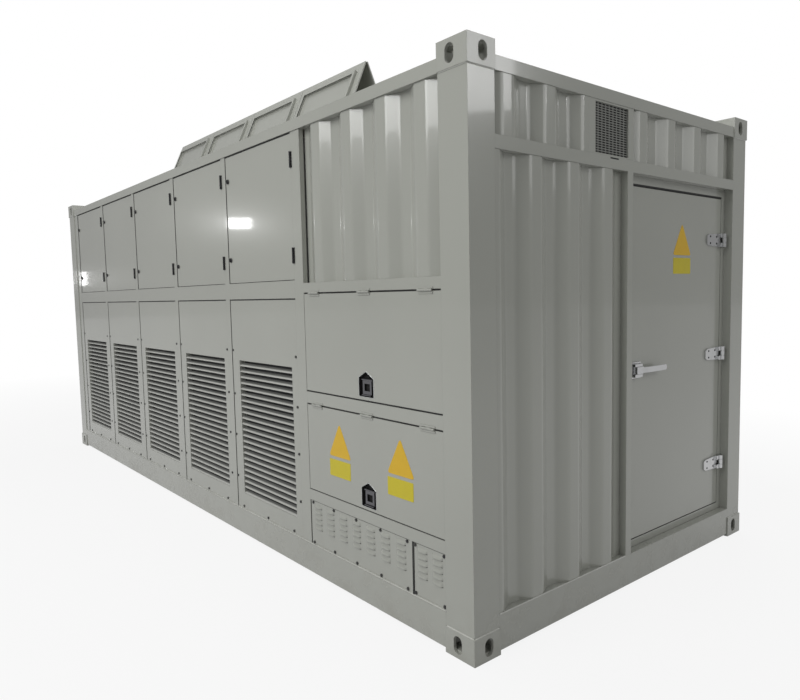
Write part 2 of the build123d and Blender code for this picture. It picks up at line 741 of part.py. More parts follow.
def resistor_elements():
    """Trays of resistor elements stacked between the uprights."""
    trays = []
    for xc in bay_centres():
        for k in range(7):
            z = 860.0 + 205.0 * k
            with BuildPart() as tray:
                cut(xc - 338, xc + 338, -850, 850, z, z + 50, Mode.ADD)
                cut(xc - 326, xc + 326, -835, 835, z - 1, z + 51)
                for c in range(6):
                    xs = xc - 280 + 112.0 * c
                    cut(xs - 9, xs + 9, -836, 836, z + 16, z + 34, Mode.ADD)
            trays.append(tray.part)
    return trays


def fan_shrouds():
    """Fan deck plate, ring, motor and its crossbar, for each bay."""
    parts = []
    for xc in bay_centres():
        with BuildPart() as ring:
            cut(xc - 400, xc + 400, -900, 900, fan_z - 90, fan_z - 84, Mode.ADD)
            with BuildSketch(Plane.XY.offset(fan_z - 90)):
                with Locations((xc, 0)):
                    Circle(shroud_r + 5)
            extrude(amount=180)
            with BuildSketch(Plane.XY.offset(fan_z - 91)):
                with Locations((xc, 0)):
                    Circle(shroud_r)
            extrude(amount=182, mode=Mode.SUBTRACT)
            cut(xc - 390, xc + 390, -40, 40, fan_z - 150, fan_z - 90, Mode.ADD)
            with BuildSketch(Plane.XY.offset(fan_z - 330)):
                with Locations((xc, 0)):
                    Circle(95)
            extrude(amount=240)
            with BuildSketch(Plane.XY.offset(fan_z - 92)):
                with Locations((xc, 0)):
                    Circle(14)
            extrude(amount=140)
        parts.append(ring.part)
    return parts


def fan_impeller(xc):
    """Six pitched blades on a bored hub."""
    with BuildPart() as impeller:
        with BuildSketch(Plane.XY.offset(fan_z - 45)):
            with Locations((xc, 0)):
                Circle(70)
        extrude(amount=90)
        with BuildSketch(Plane.XY.offset(fan_z - 46)):
            with Locations((xc, 0)):
                Circle(14 + run_fit)
        extrude(amount=92, mode=Mode.SUBTRACT)
        for k in range(6):
            turn = math.radians(60 * k)
            mid = (60 + fan_tip) / 2
            with Locations(Location((xc + mid * math.cos(turn), mid * math.sin(turn), fan_z),
                                    (0, 0, 60 * k))):
                Box(fan_tip - 60, 110, 6, rotation=(28, 0, 0))
    return impeller.part


def partitions():
    """Wall between resistor bays and control room, cable bay back, shelf and ends."""
    return [
        block(1700, 1706, -1160, 1160, floor_z1, 2440),
        block(1712, 2836, -640, -634, floor_z1, 1640),
        block(1712, 2836, -1150, -642, 1000, 1006),
        block(1712, 2836, -1150, -642, 1628, 1634),
        block(1712, 2836, -1150, -642, 440, 446),
        block(2840, 2846, -1050, -634, floor_z1, 1640),
    ]


def service_panels():
    """Switch panel behind the upper flap and cable terminal board behind the lower one."""
    with BuildPart() as switch:
        cut(1760, 2800, -960, -940, 1012, 1600, Mode.ADD)
        cut(1900, 2150, -975, -959, 1200, 1400, Mode.ADD)
        with BuildSketch(Plane.XZ.offset(959)):
            with Locations((2350, 1330)):
                with GridLocations(110, 110, 5, 3):
                    Circle(20)
        extrude(amount=22)
    with BuildPart() as board:
        cut(1760, 2800, -900, -880, 456, 980, Mode.ADD)
    with BuildPart() as cabinet:
        cut(1730, 2600, 820, 1130, 300, 2100, Mode.ADD)
    return [switch.part, board.part, cabinet.part]


def busbars():
    """Copper terminal flags on the cable board."""
    bars = []
    for k in range(4):
        x = 1900 + 240.0 * k
        with BuildPart() as bar:
            cut(x - 30, x + 30, -1000, -900.5, 700, 712, Mode.ADD)
            cut(x - 30, x + 30, -910, -900.5, 620, 880, Mode.ADD)
            with BuildSketch(Plane.XY.offset(699)):
                with Locations((x, -975)):
                    Circle(9)
            extrude(amount=20, mode=Mode.SUBTRACT)
        bars.append(bar.part)
    return bars


# ---------------------------------------------------------------- make everything
gather("bottom_castings", castings(0, False))
gather("top_castings", castings(height - cast_h, True))
gather("corner_posts", corner_posts())
gather("top_rails", top_rails())
gather("bottom_rails", bottom_rails())
gather("floor_crossmembers", crossmembers())
save(floor_plate(), "floor_plate")
gather("wall_frames", wall_frames())
gather("corrugated_walls", corrugated_walls())
save(vent_grille(), "vent_grille")
save(door_portal(), "end_door_portal")
save(roof_deck(), "roof_deck")
gather("louvre_panels", [louvre_panel(x, s) for s in (-1, 1) for x in panel_lefts()])
gather("louvre_blades", [louvre_bank(x, s) for s in (-1, 1) for x in panel_lefts()])
gather("louvre_screens", [louvre_screen(x, s) for s in (-1, 1) for x in panel_lefts()])
gather("rear_upper_panels", rear_upper_panels())
save(panel_bolts(), "panel_bolts")
gather("vent_panels", vent_panels())
gather("frame_hinges", frame_hinges())
for door in range(bays):
    save(side_door(door), f"side_door_{door + 1}")
    save(latch(door, latch_z[0]), f"side_door_{door + 1}_latch_upper")
    save(latch(door, latch_z[1]), f"side_door_{door + 1}_latch_lower")
save(flap(*flap_upper_z, dish_z[0]), "flap_upper")
save(flap(*flap_lower_z, dish_z[1]), "flap_lower")
save(paddle(dish_z[0]), "flap_upper_paddle")
save(paddle(dish_z[1]), "flap_lower_paddle")
save(end_door(), "end_door")
gather("end_door_fittings", end_door_fittings())
save(end_door_lever(), "end_door_lever")
gather("end_door_brackets", end_door_brackets())
for k in range(lids):
    save(lid(k, -1), f"front_lid_{k + 1}")
    save(lid(k, 1), f"rear_lid_{k + 1}")
gather("resistor_racks", resistor_racks())
gather("resistor_elements", resistor_elements())
gather("fan_shrouds", fan_shrouds())
for k, x in enumerate(bay_centres()):
    save(fan_impeller(x), f"fan_impeller_{k + 1}")
gather("partitions", partitions())
gather("service_panels", service_panels())
gather("busbars", busbars())
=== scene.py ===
"""Dresses a containerised generator load bank: finishes, seals, plates, welds, light and camera.

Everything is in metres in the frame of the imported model. +X runs towards the end door, -Y is the
side with the opening doors, and +Z is up.
"""
import logging
import math
from dataclasses import dataclass
from enum import Enum
from typing import Any, Callable, Dict, List, Sequence, Tuple, Union

import bmesh
import bpy
import numpy as np
from mathutils import Matrix, Vector


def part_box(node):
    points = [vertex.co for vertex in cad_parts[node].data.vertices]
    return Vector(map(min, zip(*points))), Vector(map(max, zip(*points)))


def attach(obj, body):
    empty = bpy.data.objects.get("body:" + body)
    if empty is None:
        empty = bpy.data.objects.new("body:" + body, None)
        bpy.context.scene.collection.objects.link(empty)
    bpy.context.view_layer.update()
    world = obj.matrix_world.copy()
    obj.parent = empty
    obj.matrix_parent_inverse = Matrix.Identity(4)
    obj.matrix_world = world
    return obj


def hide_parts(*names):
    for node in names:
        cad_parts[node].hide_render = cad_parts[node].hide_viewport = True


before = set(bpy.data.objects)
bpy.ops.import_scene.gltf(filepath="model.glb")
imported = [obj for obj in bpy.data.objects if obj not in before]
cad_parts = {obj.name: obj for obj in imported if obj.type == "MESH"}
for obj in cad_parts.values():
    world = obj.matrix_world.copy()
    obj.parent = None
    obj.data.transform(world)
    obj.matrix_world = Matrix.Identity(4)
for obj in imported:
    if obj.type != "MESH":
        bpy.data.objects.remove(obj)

LOG = logging.getLogger("load_bank")
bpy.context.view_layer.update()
Colour = Tuple[float, float, float]
Point = Tuple[float, float, float]
Span = Tuple[float, float]
# A shell is its points, of shape (n, 3), and blocks of faces with equally many corners in a block.
Shell = Tuple[np.ndarray, List[np.ndarray]]

SIDE_FACE = -1.207                        # skin of the flaps on the door side
BAY_PITCH = 0.889                         # one bay, door or louvred panel to the next
POST = np.array([0.172, 0.156, 0.0])      # widths of a corner post
VENT_Y: Span = (-0.355, -0.077)           # opening of the end vent
VENT_Z: Span = (2.226, 2.463)


# ------------------------------------------------------------------ shader writing
class Value:
    """A number socket that takes part in Python expressions by adding Math nodes."""

    def __init__(self, wiring: "Wiring", socket: bpy.types.NodeSocket) -> None:
        """Keeps the output socket and the wiring that it belongs to."""
        self.wiring = wiring
        self.socket = socket

    def _math(self, operation: str, *terms: Any) -> "Value":
        """Adds one Math node for Values or numbers, in order."""
        made = self.wiring.node("ShaderNodeMath", {"operation": operation}, dict(enumerate(terms)))
        return Value(self.wiring, made.outputs[0])

    def __add__(self, other: Any) -> "Value":
        """Sum."""
        return self._math("ADD", self, other)

    def __radd__(self, other: Any) -> "Value":
        """Sum with a number on the left."""
        return self._math("ADD", other, self)

    def __sub__(self, other: Any) -> "Value":
        """Difference."""
        return self._math("SUBTRACT", self, other)

    def __rsub__(self, other: Any) -> "Value":
        """Difference from a number on the left."""
        return self._math("SUBTRACT", other, self)

    def __mul__(self, other: Any) -> "Value":
        """Product."""
        return self._math("MULTIPLY", self, other)

    def __rmul__(self, other: Any) -> "Value":
        """Product with a number on the left."""
        return self._math("MULTIPLY", other, self)

    def __truediv__(self, other: Any) -> "Value":
        """Quotient."""
        return self._math("DIVIDE", self, other)

    def __gt__(self, other: Any) -> "Value":
        """1 where the value is greater."""
        return self._math("GREATER_THAN", self, other)

    def __lt__(self, other: Any) -> "Value":
        """1 where the value is less."""
        return self._math("LESS_THAN", self, other)

    def __abs__(self) -> "Value":
        """Absolute value."""
        return self._math("ABSOLUTE", self)

    def ramp(self, low: float, high: float) -> "Value":
        """Straight line from 0 at low to 1 at high, held between them."""
        made = self.wiring.node("ShaderNodeMapRange", {"clamp": True},
                                {"Value": self, "From Min": low, "From Max": high})
        return Value(self.wiring, made.outputs[0])

    def wave(self, pitch: float) -> "Value":
        """Sine of the value, from -1 to 1, with the given length of one wave."""
        turned = self * (2 * math.pi / pitch)
        return turned._math("SINE", turned)

    def root(self) -> "Value":
        """Square root."""
        return self._math("SQRT", self)

    def high(self, other: Any) -> "Value":
        """The greater of this and another value or number."""
        return self._math("MAXIMUM", self, other)


Paint = Union[Colour, bpy.types.NodeSocket]


class Wiring:
    """A node tree in which every node is added by one method."""

    def __init__(self, tree: bpy.types.NodeTree) -> None:
        """Keeps the tree and empties it."""
        self.tree = tree
        self.tree.nodes.clear()

    def node(self, kind: str, settings: Dict[str, Any], inputs: Dict[Any, Any]) -> bpy.types.Node:
        """Adds any node.

        Args:
            kind: The node's type name.
            settings: Its properties, set first.
            inputs: Socket name or number to a Value, a socket or a constant.

        Returns:
            The new node.
        """
        made = self.tree.nodes.new(kind)
        for key, value in settings.items():
            setattr(made, key, value)
        for key, value in inputs.items():
            self.feed(made.inputs[key], value)
        return made

    def feed(self, target: bpy.types.NodeSocket, value: Any) -> None:
        """Links or sets one input.

        Args:
            target: The input socket.
            value: A Value or socket to link, or a constant to set.
        """
        if isinstance(value, Value):
            self.tree.links.new(value.socket, target)
        elif isinstance(value, bpy.types.NodeSocket):
            self.tree.links.new(value, target)
        elif target.type == "RGBA" and len(value) == 3:
            target.default_value = (*value, 1.0)
        else:
            target.default_value = value

    def rays(self, *kinds: str) -> Value:
        """1 for rays of any of the given kinds.

        Args:
            *kinds: Outputs of the Light Path node.

        Returns:
            The mask.
        """
        path = self.node("ShaderNodeLightPath", {}, {})
        mask = Value(self, path.outputs[kinds[0]])
        for kind in kinds[1:]:
            mask = mask.high(Value(self, path.outputs[kind]))
        return mask


class Shader(Wiring):
    """One Principled material and the nodes that feed it."""

    def __init__(self, name: str) -> None:
        """Starts an empty material with Object coordinates ready.

        Args:
            name: The material's name.
        """
        self.material = bpy.data.materials.new(name)
        self.material.use_nodes = True
        super().__init__(self.material.node_tree)
        self.principled = self.node("ShaderNodeBsdfPrincipled", {}, {})
        self.output = self.node("ShaderNodeOutputMaterial", {},
                                {"Surface": self.principled.outputs[0]})
        self.place = self.node("ShaderNodeTexCoord", {}, {}).outputs["Object"]
        parts = self.node("ShaderNodeSeparateXYZ", {}, {0: self.place})
        self.x, self.y, self.z = (Value(self, socket) for socket in parts.outputs)

    def noise(self, scale: float, detail: float = 2.0, stretch: Point = (1.0, 1.0, 1.0)) -> Value:
        """Fractal noise over the object.

        Args:
            scale: Cells to the metre.
            detail: Number of finer layers.
            stretch: Factor on each axis; below 1 draws the noise out that way.

        Returns:
            The noise, about 0 to 1.
        """
        spot = self.place
        if stretch != (1.0, 1.0, 1.0):
            mapped = self.node("ShaderNodeMapping", {}, {"Vector": self.place, "Scale": stretch})
            spot = mapped.outputs[0]
        made = self.node("ShaderNodeTexNoise", {},
                         {"Vector": spot, "Scale": scale, "Detail": detail})
        return Value(self, made.outputs[0])

    def mix(self, first: Paint, second: Paint, amount: Any) -> bpy.types.NodeSocket:
        """Colour from the first, where the amount is 0, to the second, where it is 1."""
        made = self.node("ShaderNodeMix", {"data_type": "RGBA"}, {0: amount, 6: first, 7: second})
        return made.outputs[2]

    def bump(self, height: Value, distance: float, strength: float = 1.0,
             soften: float = 0.0) -> None:
        """Feeds the normal from a height, and rounds sharp edges a little.

        Args:
            height: Height from 0 to 1.
            distance: Metres that a height of 1 stands for.
            strength: Share of the bump that shows.
            soften: Radius in metres of the rounded look of sharp edges, or 0.
        """
        inputs: Dict[str, Any] = {"Height": height, "Distance": distance, "Strength": strength}
        if soften:
            rounded = self.node("ShaderNodeBevel", {"samples": 4}, {"Radius": soften})
            inputs["Normal"] = rounded.outputs[0]
        made = self.node("ShaderNodeBump", {}, inputs)
        self.feed(self.principled.inputs["Normal"], made.outputs[0])

    def set(self, **sockets: Any) -> None:
        """Feeds Principled sockets; an underscore in a name stands for a space."""
        for name, value in sockets.items():
            self.feed(self.principled.inputs[name.replace("_", " ")], value)


# ------------------------------------------------------------------ finishes
class Trim(Enum):
    """What else a painted piece carries besides its enamel."""

    PLAIN = "plain"
    BLACK_HINGES = "black hinges"
    CAST = "cast"
    LOUVRE = "louvre"


@dataclass(frozen=True)
class Enamel:
    """Sprayed grey-green gloss enamel: orange peel, slight clouding, a little dust low down.

    Hinges are black outside hinge_face and short of hinge_end. Louvre blades darken with painted
    shade from the first depth of the recess to the second, measured from the middle of the
    container.
    """

    name: str = "grey_green_enamel"
    colour: Colour = (0.362, 0.370, 0.334)
    dusty: Colour = (0.25, 0.24, 0.20)
    hinge_black: Colour = (0.016, 0.016, 0.018)
    hinge_face: float = -1.2062
    hinge_end: float = 1.700
    # Colour of the painted shade between the louvre blades, and the depths over which it comes in.
    painted_recess_shade: Colour = (0.035, 0.036, 0.034)
    painted_shade_depths: Span = (1.1985, 1.1925)
    trim: Trim = Trim.PLAIN
    peel: float = 0.00007
    edge: float = 0.0034
    coat: float = 0.55
    dull: float = 0.0

    def build(self) -> bpy.types.Material:
        """Makes the material.

        Returns:
            The finished material.
        """
        s = Shader(self.name)
        cloud = s.noise(0.8, 2.0)
        body = s.mix(self.colour, tuple(0.95 * c for c in self.colour), cloud.ramp(0.40, 0.70))
        low = s.z.ramp(0.32, 0.0) * s.noise(11.0, 4.0).ramp(0.40, 0.75)
        body = s.mix(body, self.dusty, low * 0.30 + s.noise(60.0, 4.0).ramp(0.70, 0.82) * 0.05)
        rough = 0.17 + self.dull + 0.05 * cloud + 0.25 * low
        peel = s.noise(380.0, 2.0) * 0.35 + s.noise(5.0, 2.0) * 1.6
        if self.trim is Trim.BLACK_HINGES:
            body = s.mix(body, self.hinge_black, (s.y < self.hinge_face) * (s.x < self.hinge_end))
        if self.trim is Trim.LOUVRE:
            # Painted shade: the blades darken towards their inner part, where the shadow between
            # them falls.
            body = s.mix(body, self.painted_recess_shade, abs(s.y).ramp(*self.painted_shade_depths) * 0.85)
        if self.trim is Trim.CAST:
            peel = peel + s.noise(160.0, 4.0) * 3.0
            rough = rough + 0.08
        s.set(Base_Color=body, Roughness=rough, Coat_Weight=self.coat, Coat_Roughness=0.05)
        s.bump(peel, self.peel, soften=self.edge)
        return s.material


@dataclass(frozen=True)
class Metal:
    """Bare or plated metal with drawn lines or a polish."""

    name: str
    colour: Colour
    rough: float
    lines: float = 0.0
    along: Point = (0.02, 1.0, 1.0)
    stain: Colour = (0.20, 0.19, 0.18)
    stains: float = 0.15

    def build(self) -> bpy.types.Material:
        """Makes the material.

        Returns:
            The finished material.
        """
        s = Shader(self.name)
        spots = s.noise(18.0, 4.0).ramp(0.52, 0.78) * self.stains
        drawn = s.noise(900.0, 2.0, self.along)
        body = s.mix(self.colour, self.stain, spots)
        body = s.mix(body, tuple(0.8 * c for c in self.colour), drawn.ramp(0.4, 0.7) * self.lines)
        s.set(Base_Color=body, Roughness=self.rough + 0.25 * spots + 0.10 * self.lines * drawn,
              Metallic=1.0)
        s.bump(drawn * self.lines + s.noise(30.0, 2.0) * 0.4, 0.00012, soften=0.0010)
        return s.material


@dataclass(frozen=True)
class Moulded:
    """Plastic, rubber or black paint with a fine grain."""

    name: str
    colour: Colour
    rough: float = 0.45
    grain: float = 380.0
    depth: float = 0.00010
    dust: Colour = (0.16, 0.15, 0.13)
    dusting: float = 0.25

    def build(self) -> bpy.types.Material:
        """Makes the material.

        Returns:
            The finished material.
        """
        s = Shader(self.name)
        settled = s.noise(22.0, 5.0).ramp(0.50, 0.80) * self.dusting
        s.set(Base_Color=s.mix(self.colour, self.dust, settled),
              Roughness=self.rough + 0.25 * settled)
        s.bump(s.noise(self.grain, 3.0), self.depth, soften=0.0008)
        return s.material


@dataclass(frozen=True)
class WireMesh:
    """Fine black screen: crossing wires as a raised weave."""

    name: str = "black_screen"
    colour: Colour = (0.012, 0.012, 0.013)
    wire: Colour = (0.060, 0.060, 0.062)
    pitch: float = 0.006

    def build(self) -> bpy.types.Material:
        """Makes the material.

        Returns:
            The finished material.
        """
        s = Shader(self.name)
        weave = (abs(s.x.wave(self.pitch)).ramp(0.75, 0.98)
                 + abs(s.z.wave(self.pitch)).ramp(0.75, 0.98))
        s.set(Base_Color=s.mix(self.colour, self.wire, weave * 0.6),
              Roughness=0.6 + 0.2 * s.noise(40.0))
        s.bump(weave, 0.0006)
        return s.material


@dataclass(frozen=True)
class HeatTinted:
    """Resistor alloy, blued and browned by heat."""

    name: str = "heat_tinted_alloy"
    colour: Colour = (0.42, 0.40, 0.37)
    brown: Colour = (0.26, 0.17, 0.10)
    blue: Colour = (0.16, 0.20, 0.30)

    def build(self) -> bpy.types.Material:
        """Makes the material.

        Returns:
            The finished material.
        """
        s = Shader(self.name)
        band = s.noise(7.0, 3.0, (1.0, 0.5, 1.0))
        body = s.mix(self.colour, self.brown, band.ramp(0.45, 0.60) * 0.7)
        body = s.mix(body, self.blue, band.ramp(0.58, 0.72) * 0.6)
        s.set(Base_Color=body, Roughness=0.35 + 0.2 * s.noise(30.0), Metallic=0.85)
        s.bump(s.noise(200.0, 3.0), 0.0002)
        return s.material


@dataclass(frozen=True)
class Backdrop:
    """Pale studio floor: shaded near the object, plain white to the eye further out."""

    name: str = "studio_floor"
    pale: Colour = (0.44, 0.44, 0.44)
    paler: Colour = (0.42, 0.42, 0.42)
    glow_near: float = 0.88
    clear: Span = (2.8, 6.0)
    mirrored: float = 0.45

    def build(self) -> bpy.types.Material:
        """Makes the material.

        The share of white rises with the distance from the middle, where X counts half.

        Returns:
            The finished material.
        """
        s = Shader(self.name)
        s.set(Base_Color=s.mix(self.pale, self.paler, s.noise(0.6, 2.0)), Roughness=0.9)
        far = (s.x * s.x * 0.30 + s.y * s.y).root().ramp(*self.clear)
        seen = s.rays("Is Camera Ray") * (self.glow_near + (1 - self.glow_near) * far)
        share = seen.high(s.rays("Is Glossy Ray") * self.mirrored)
        glow = s.node("ShaderNodeEmission", {}, {"Color": (1.0, 1.0, 1.0)})
        both = s.node("ShaderNodeMixShader", {}, {0: share, 1: s.principled.outputs[0],
                                                  2: glow.outputs[0]})
        s.feed(s.output.inputs["Surface"], both.outputs[0])
        return s.material


class Finishes:
    """All of the materials, each made once."""

    def __init__(self) -> None:
        """Builds every material."""
        recipes: List[Any] = [
            Enamel(),
            Enamel(name="enamel_black_hinges", trim=Trim.BLACK_HINGES),
            Enamel(name="enamel_cast", trim=Trim.CAST, peel=0.00022, edge=0.004),
            # Louvre blades: a lighter copy of the enamel as a painted highlight for light on their
            # upturned faces.
            Enamel(name="louvre_enamel_painted_light", colour=(0.45, 0.455, 0.425), trim=Trim.LOUVRE, coat=0.10,
                   dull=0.22, edge=0.0010),
            # A pale copy of the enamel: painted highlight on the sealant beads, the welds and the
            # end rail's edge.
            Enamel(name="bead_enamel_painted_highlight", colour=(0.52, 0.525, 0.49), edge=0.0010),
            Metal("satin_blades", (0.62, 0.64, 0.63), 0.36, lines=0.5),
            Metal("polished_chrome", (0.62, 0.625, 0.63), 0.14, stains=0.12),
            Metal("smoked_chrome", (0.16, 0.16, 0.17), 0.20, stains=0.10),
            Moulded("mesh_paint", (0.17, 0.175, 0.16), grain=500.0, dusting=0.2),
            Moulded("pit_black", (0.004, 0.004, 0.004), 0.9, dusting=0.0),
            Metal("copper_bar", (0.78, 0.42, 0.25), 0.30, lines=0.4, stain=(0.22, 0.10, 0.06)),
            Moulded("black_latch", (0.014, 0.014, 0.015), 0.38),
            # Black rubber for the seals, also used for strips that are painted shadow in the gaps.
            Moulded("rubber_seal_and_gap_shadow", (0.010, 0.010, 0.010), 0.7, grain=900.0, dusting=0.1),
            Moulded("inner_steel", (0.055, 0.056, 0.058), 0.55, dusting=0.35),
            Moulded("panel_grey", (0.46, 0.47, 0.46), 0.42, grain=600.0, dusting=0.12),
            Moulded("plate_amber", (0.66, 0.41, 0.012), 0.34, grain=700.0, depth=0.00005,
                    dust=(0.42, 0.27, 0.04), dusting=0.15),
            Moulded("plate_lemon", (0.56, 0.47, 0.014), 0.34, grain=700.0, depth=0.00005,
                    dust=(0.38, 0.30, 0.04), dusting=0.15),
            WireMesh(),
            HeatTinted(),
            Backdrop(),
        ]
        self.made: Dict[str, bpy.types.Material] = {r.name: r.build() for r in recipes}
        LOG.info("finishes: %d", len(self.made))

    def dress(self, target: bpy.types.Object, name: str) -> None:
        """Puts one material on every slot of an object.

        Args:
            target: The object.
            name: The material's name.
        """
        if not target.material_slots:
            target.data.materials.append(self.made[name])
        for held in target.material_slots:
            held.material = self.made[name]


# ------------------------------------------------------------------ surfaces
class Surface:
    """Meshes worked out as whole numpy arrays."""

    @staticmethod
    def from_arrays(name: str, points: np.ndarray, faces: Sequence[np.ndarray], smooth: bool = False
                    ) -> bpy.types.Object:
        """Makes an object from points and faces.

        Args:
            name: Object name.
            points: Array of shape (n, 3).
            faces: Blocks of corner numbers, one face to a row.
            smooth: Whether to shade smooth below 35 degrees.

        Returns:
            The object, linked to the scene, with its faces turned outwards.
        """
        mesh = bpy.data.meshes.new(name)
        mesh.from_pydata(points.tolist(), [], [row for block in faces for row in block.tolist()])
        mesh.validate()
        made = bpy.data.objects.new(name, mesh)
        bpy.context.scene.collection.objects.link(made)
        Surface.face_outwards(made)
        if smooth:
            mesh.polygons.foreach_set("use_smooth", np.ones(len(mesh.polygons), bool))
            mesh.set_sharp_from_angle(angle=math.radians(35))
        return made

    @staticmethod
    def face_outwards(made: bpy.types.Object) -> None:
        """Recalculates normals so that they point out.

        Args:
            made: A mesh object with closed shells.
        """
        work = bmesh.new()
        work.from_mesh(made.data)
        bmesh.ops.recalc_face_normals(work, faces=work.faces)
        work.to_mesh(made.data)
        work.free()

    @staticmethod
    def grid_faces(rows: int, columns: int, close_rows: bool, close_columns: bool) -> np.ndarray:
        """Quads of a grid of points.

        Each quad joins point (r, c) to (r+1, c), (r+1, c+1) and (r, c+1), counted round where
        the grid is closed.

        Args:
            rows: Points along the first way.
            columns: Points along the second way.
            close_rows: Whether the last row joins the first.
            close_columns: Whether the last column joins the first.

        Returns:
            Array of corner numbers, one quad to a row.
        """
        r = np.arange(rows if close_rows else rows - 1)[:, None]
        c = np.arange(columns if close_columns else columns - 1)[None, :]
        r1, c1 = (r + 1) % rows, (c + 1) % columns
        quads = np.stack(np.broadcast_arrays(r * columns + c, r1 * columns + c,
                                             r1 * columns + c1, r * columns + c1), axis=-1)
        return quads.reshape(-1, 4)

    @staticmethod
    def normals_2d(outline: np.ndarray) -> np.ndarray:
        """Mitred outward normals of a closed anticlockwise outline.

        The normal at a corner is the sum of its two sides' unit normals over one plus their dot
        product, so that moving each point along it by d moves every side out by d.

        Args:
            outline: Points of shape (n, 2).

        Returns:
            Array of shape (n, 2).
        """
        side = np.roll(outline, -1, axis=0) - outline
        unit = side / np.linalg.norm(side, axis=1, keepdims=True)
        out = np.stack([unit[:, 1], -unit[:, 0]], axis=1)
        before = np.roll(out, 1, axis=0)
        return (out + before) / (1 + np.sum(out * before, axis=1, keepdims=True))

    @staticmethod
    def carried(outline: np.ndarray, profile: np.ndarray, closed: bool, place: np.ndarray) -> Shell:
        """A profile carried round a closed outline.

        Point (i, j) is outline point j moved out along its mitred normal by profile[i, 0], at
        height profile[i, 1], then taken into space by the 3x4 matrix place.

        Args:
            outline: Anticlockwise points of shape (n, 2).
            profile: Points (outward, height) of shape (m, 2).
            closed: Whether the profile is a closed loop; otherwise both ends are capped.
            place: Matrix whose columns are the outline's two axes, the height axis and the origin.

        Returns:
            The shell, with m * n points.
        """
        m, n = len(profile), len(outline)
        flat = outline[None] + Surface.normals_2d(outline)[None] * profile[:, None, :1]
        height = np.broadcast_to(profile[:, None, 1:2], (m, n, 1))
        local = np.concatenate([flat, height], axis=2).reshape(-1, 3)
        points = local @ place[:, :3].T + place[:, 3]
        faces = [Surface.grid_faces(m, n, True, True)] if closed else Surface.tube_faces(m, n)
        return points, faces

    @staticmethod
    def tube_faces(rings: int, corners: int) -> List[np.ndarray]:
        """Quads between the rings of a tube, and the cap at each end."""
        cap = np.arange(corners)[None]
        last = cap[:, ::-1] + (rings - 1) * corners
        return [Surface.grid_faces(rings, corners, False, True), cap, last]

    @staticmethod
    def gather(name: str, shells: Sequence[Shell], smooth: bool = False) -> bpy.types.Object:
        """Joins several shells into one object.

        Each shell's corner numbers go up by the number of points before it.

        Args:
            name: Object name.
            shells: The shells.
            smooth: Whether to shade smooth.

        Returns:
            The object.
        """
        starts = np.cumsum([0] + [len(points) for points, _ in shells])
        faces = [block + start for (_, blocks), start in zip(shells, starts) for block in blocks]
        points = np.concatenate([points for points, _ in shells])
        return Surface.from_arrays(name, points, faces, smooth)

    @staticmethod
    def rounded(corners: np.ndarray, radius: float, steps: int = 5) -> np.ndarray:
        """Outline with each corner turned into an arc.

        Each arc starts and ends radius * tan(half the turn) from its corner and follows the
        quadratic curve (1-t)^2 a + 2t(1-t) corner + t^2 b.

        Args:
            corners: Anticlockwise corners of shape (n, 2).
            radius: Arc radius in metres.
            steps: Points on each arc.

        Returns:
            Outline of shape (n * steps, 2).
        """
        back = np.roll(corners, 1, axis=0) - corners
        ahead = np.roll(corners, -1, axis=0) - corners
        back = back / np.linalg.norm(back, axis=1, keepdims=True)
        ahead = ahead / np.linalg.norm(ahead, axis=1, keepdims=True)
        inside = np.arccos(np.clip(np.sum(back * ahead, axis=1), -1, 1))
        reach = (radius / np.tan(inside / 2))[:, None]
        a, b = corners + back * reach, corners + ahead * reach
        t = np.linspace(0, 1, steps)[None, :, None]
        arc = (1 - t) ** 2 * a[:, None] + 2 * t * (1 - t) * corners[:, None] + t ** 2 * b[:, None]
        return arc.reshape(-1, 2)

    @staticmethod
    def rectangle(u0: float, u1: float, v0: float, v1: float) -> np.ndarray:
        """Anticlockwise corners of a rectangle, of shape (4, 2)."""
        return np.array([[u0, v0], [u1, v0], [u1, v1], [u0, v1]], float)


def side_place(y: float, sign: float = -1.0) -> np.ndarray:
    """Matrix for outlines in X and Z on a long side: sign is -1 on the door side, 1 on the far."""
    return np.array([[1, 0, 0, 0], [0, 0, sign, y], [0, 1, 0, 0]], float)


def end_place(x: float) -> np.ndarray:
    """Matrix for outlines in Y and Z at x on the control end."""
    return np.array([[0, 0, 1, x], [1, 0, 0, 0], [0, 1, 0, 0]], float)


def corners_of(node: str) -> Tuple[np.ndarray, np.ndarray]:
    """Lowest and highest corner of a node."""
    low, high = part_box(node)
    return np.array(low, float), np.array(high, float)


# ------------------------------------------------------------------ sub-assemblies
@dataclass
class Kit:
    """Shared tools for the sub-assemblies."""

    finishes: Finishes

    def finish_piece(self, piece: bpy.types.Object, material: str, body: str, slot: str) -> None:
        """Dresses a new piece and fixes it to a body.

        Args:
            piece: The new object.
            material: Name of its material.
            body: The body that it rides on.
            slot: Name of a material slot; not used.
        """
        self.finishes.dress(piece, material)
        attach(piece, body)
        LOG.info("%s on %s: %d faces", piece.name, body, len(piece.data.polygons))

    def add(self, name: str, shells: Sequence[Shell], material: str, body: str, slot: str,
            smooth: bool = False) -> None:
        """Joins shells into a piece, dresses it and fixes it to a body."""
        self.finish_piece(Surface.gather(name, shells, smooth), material, body, slot)


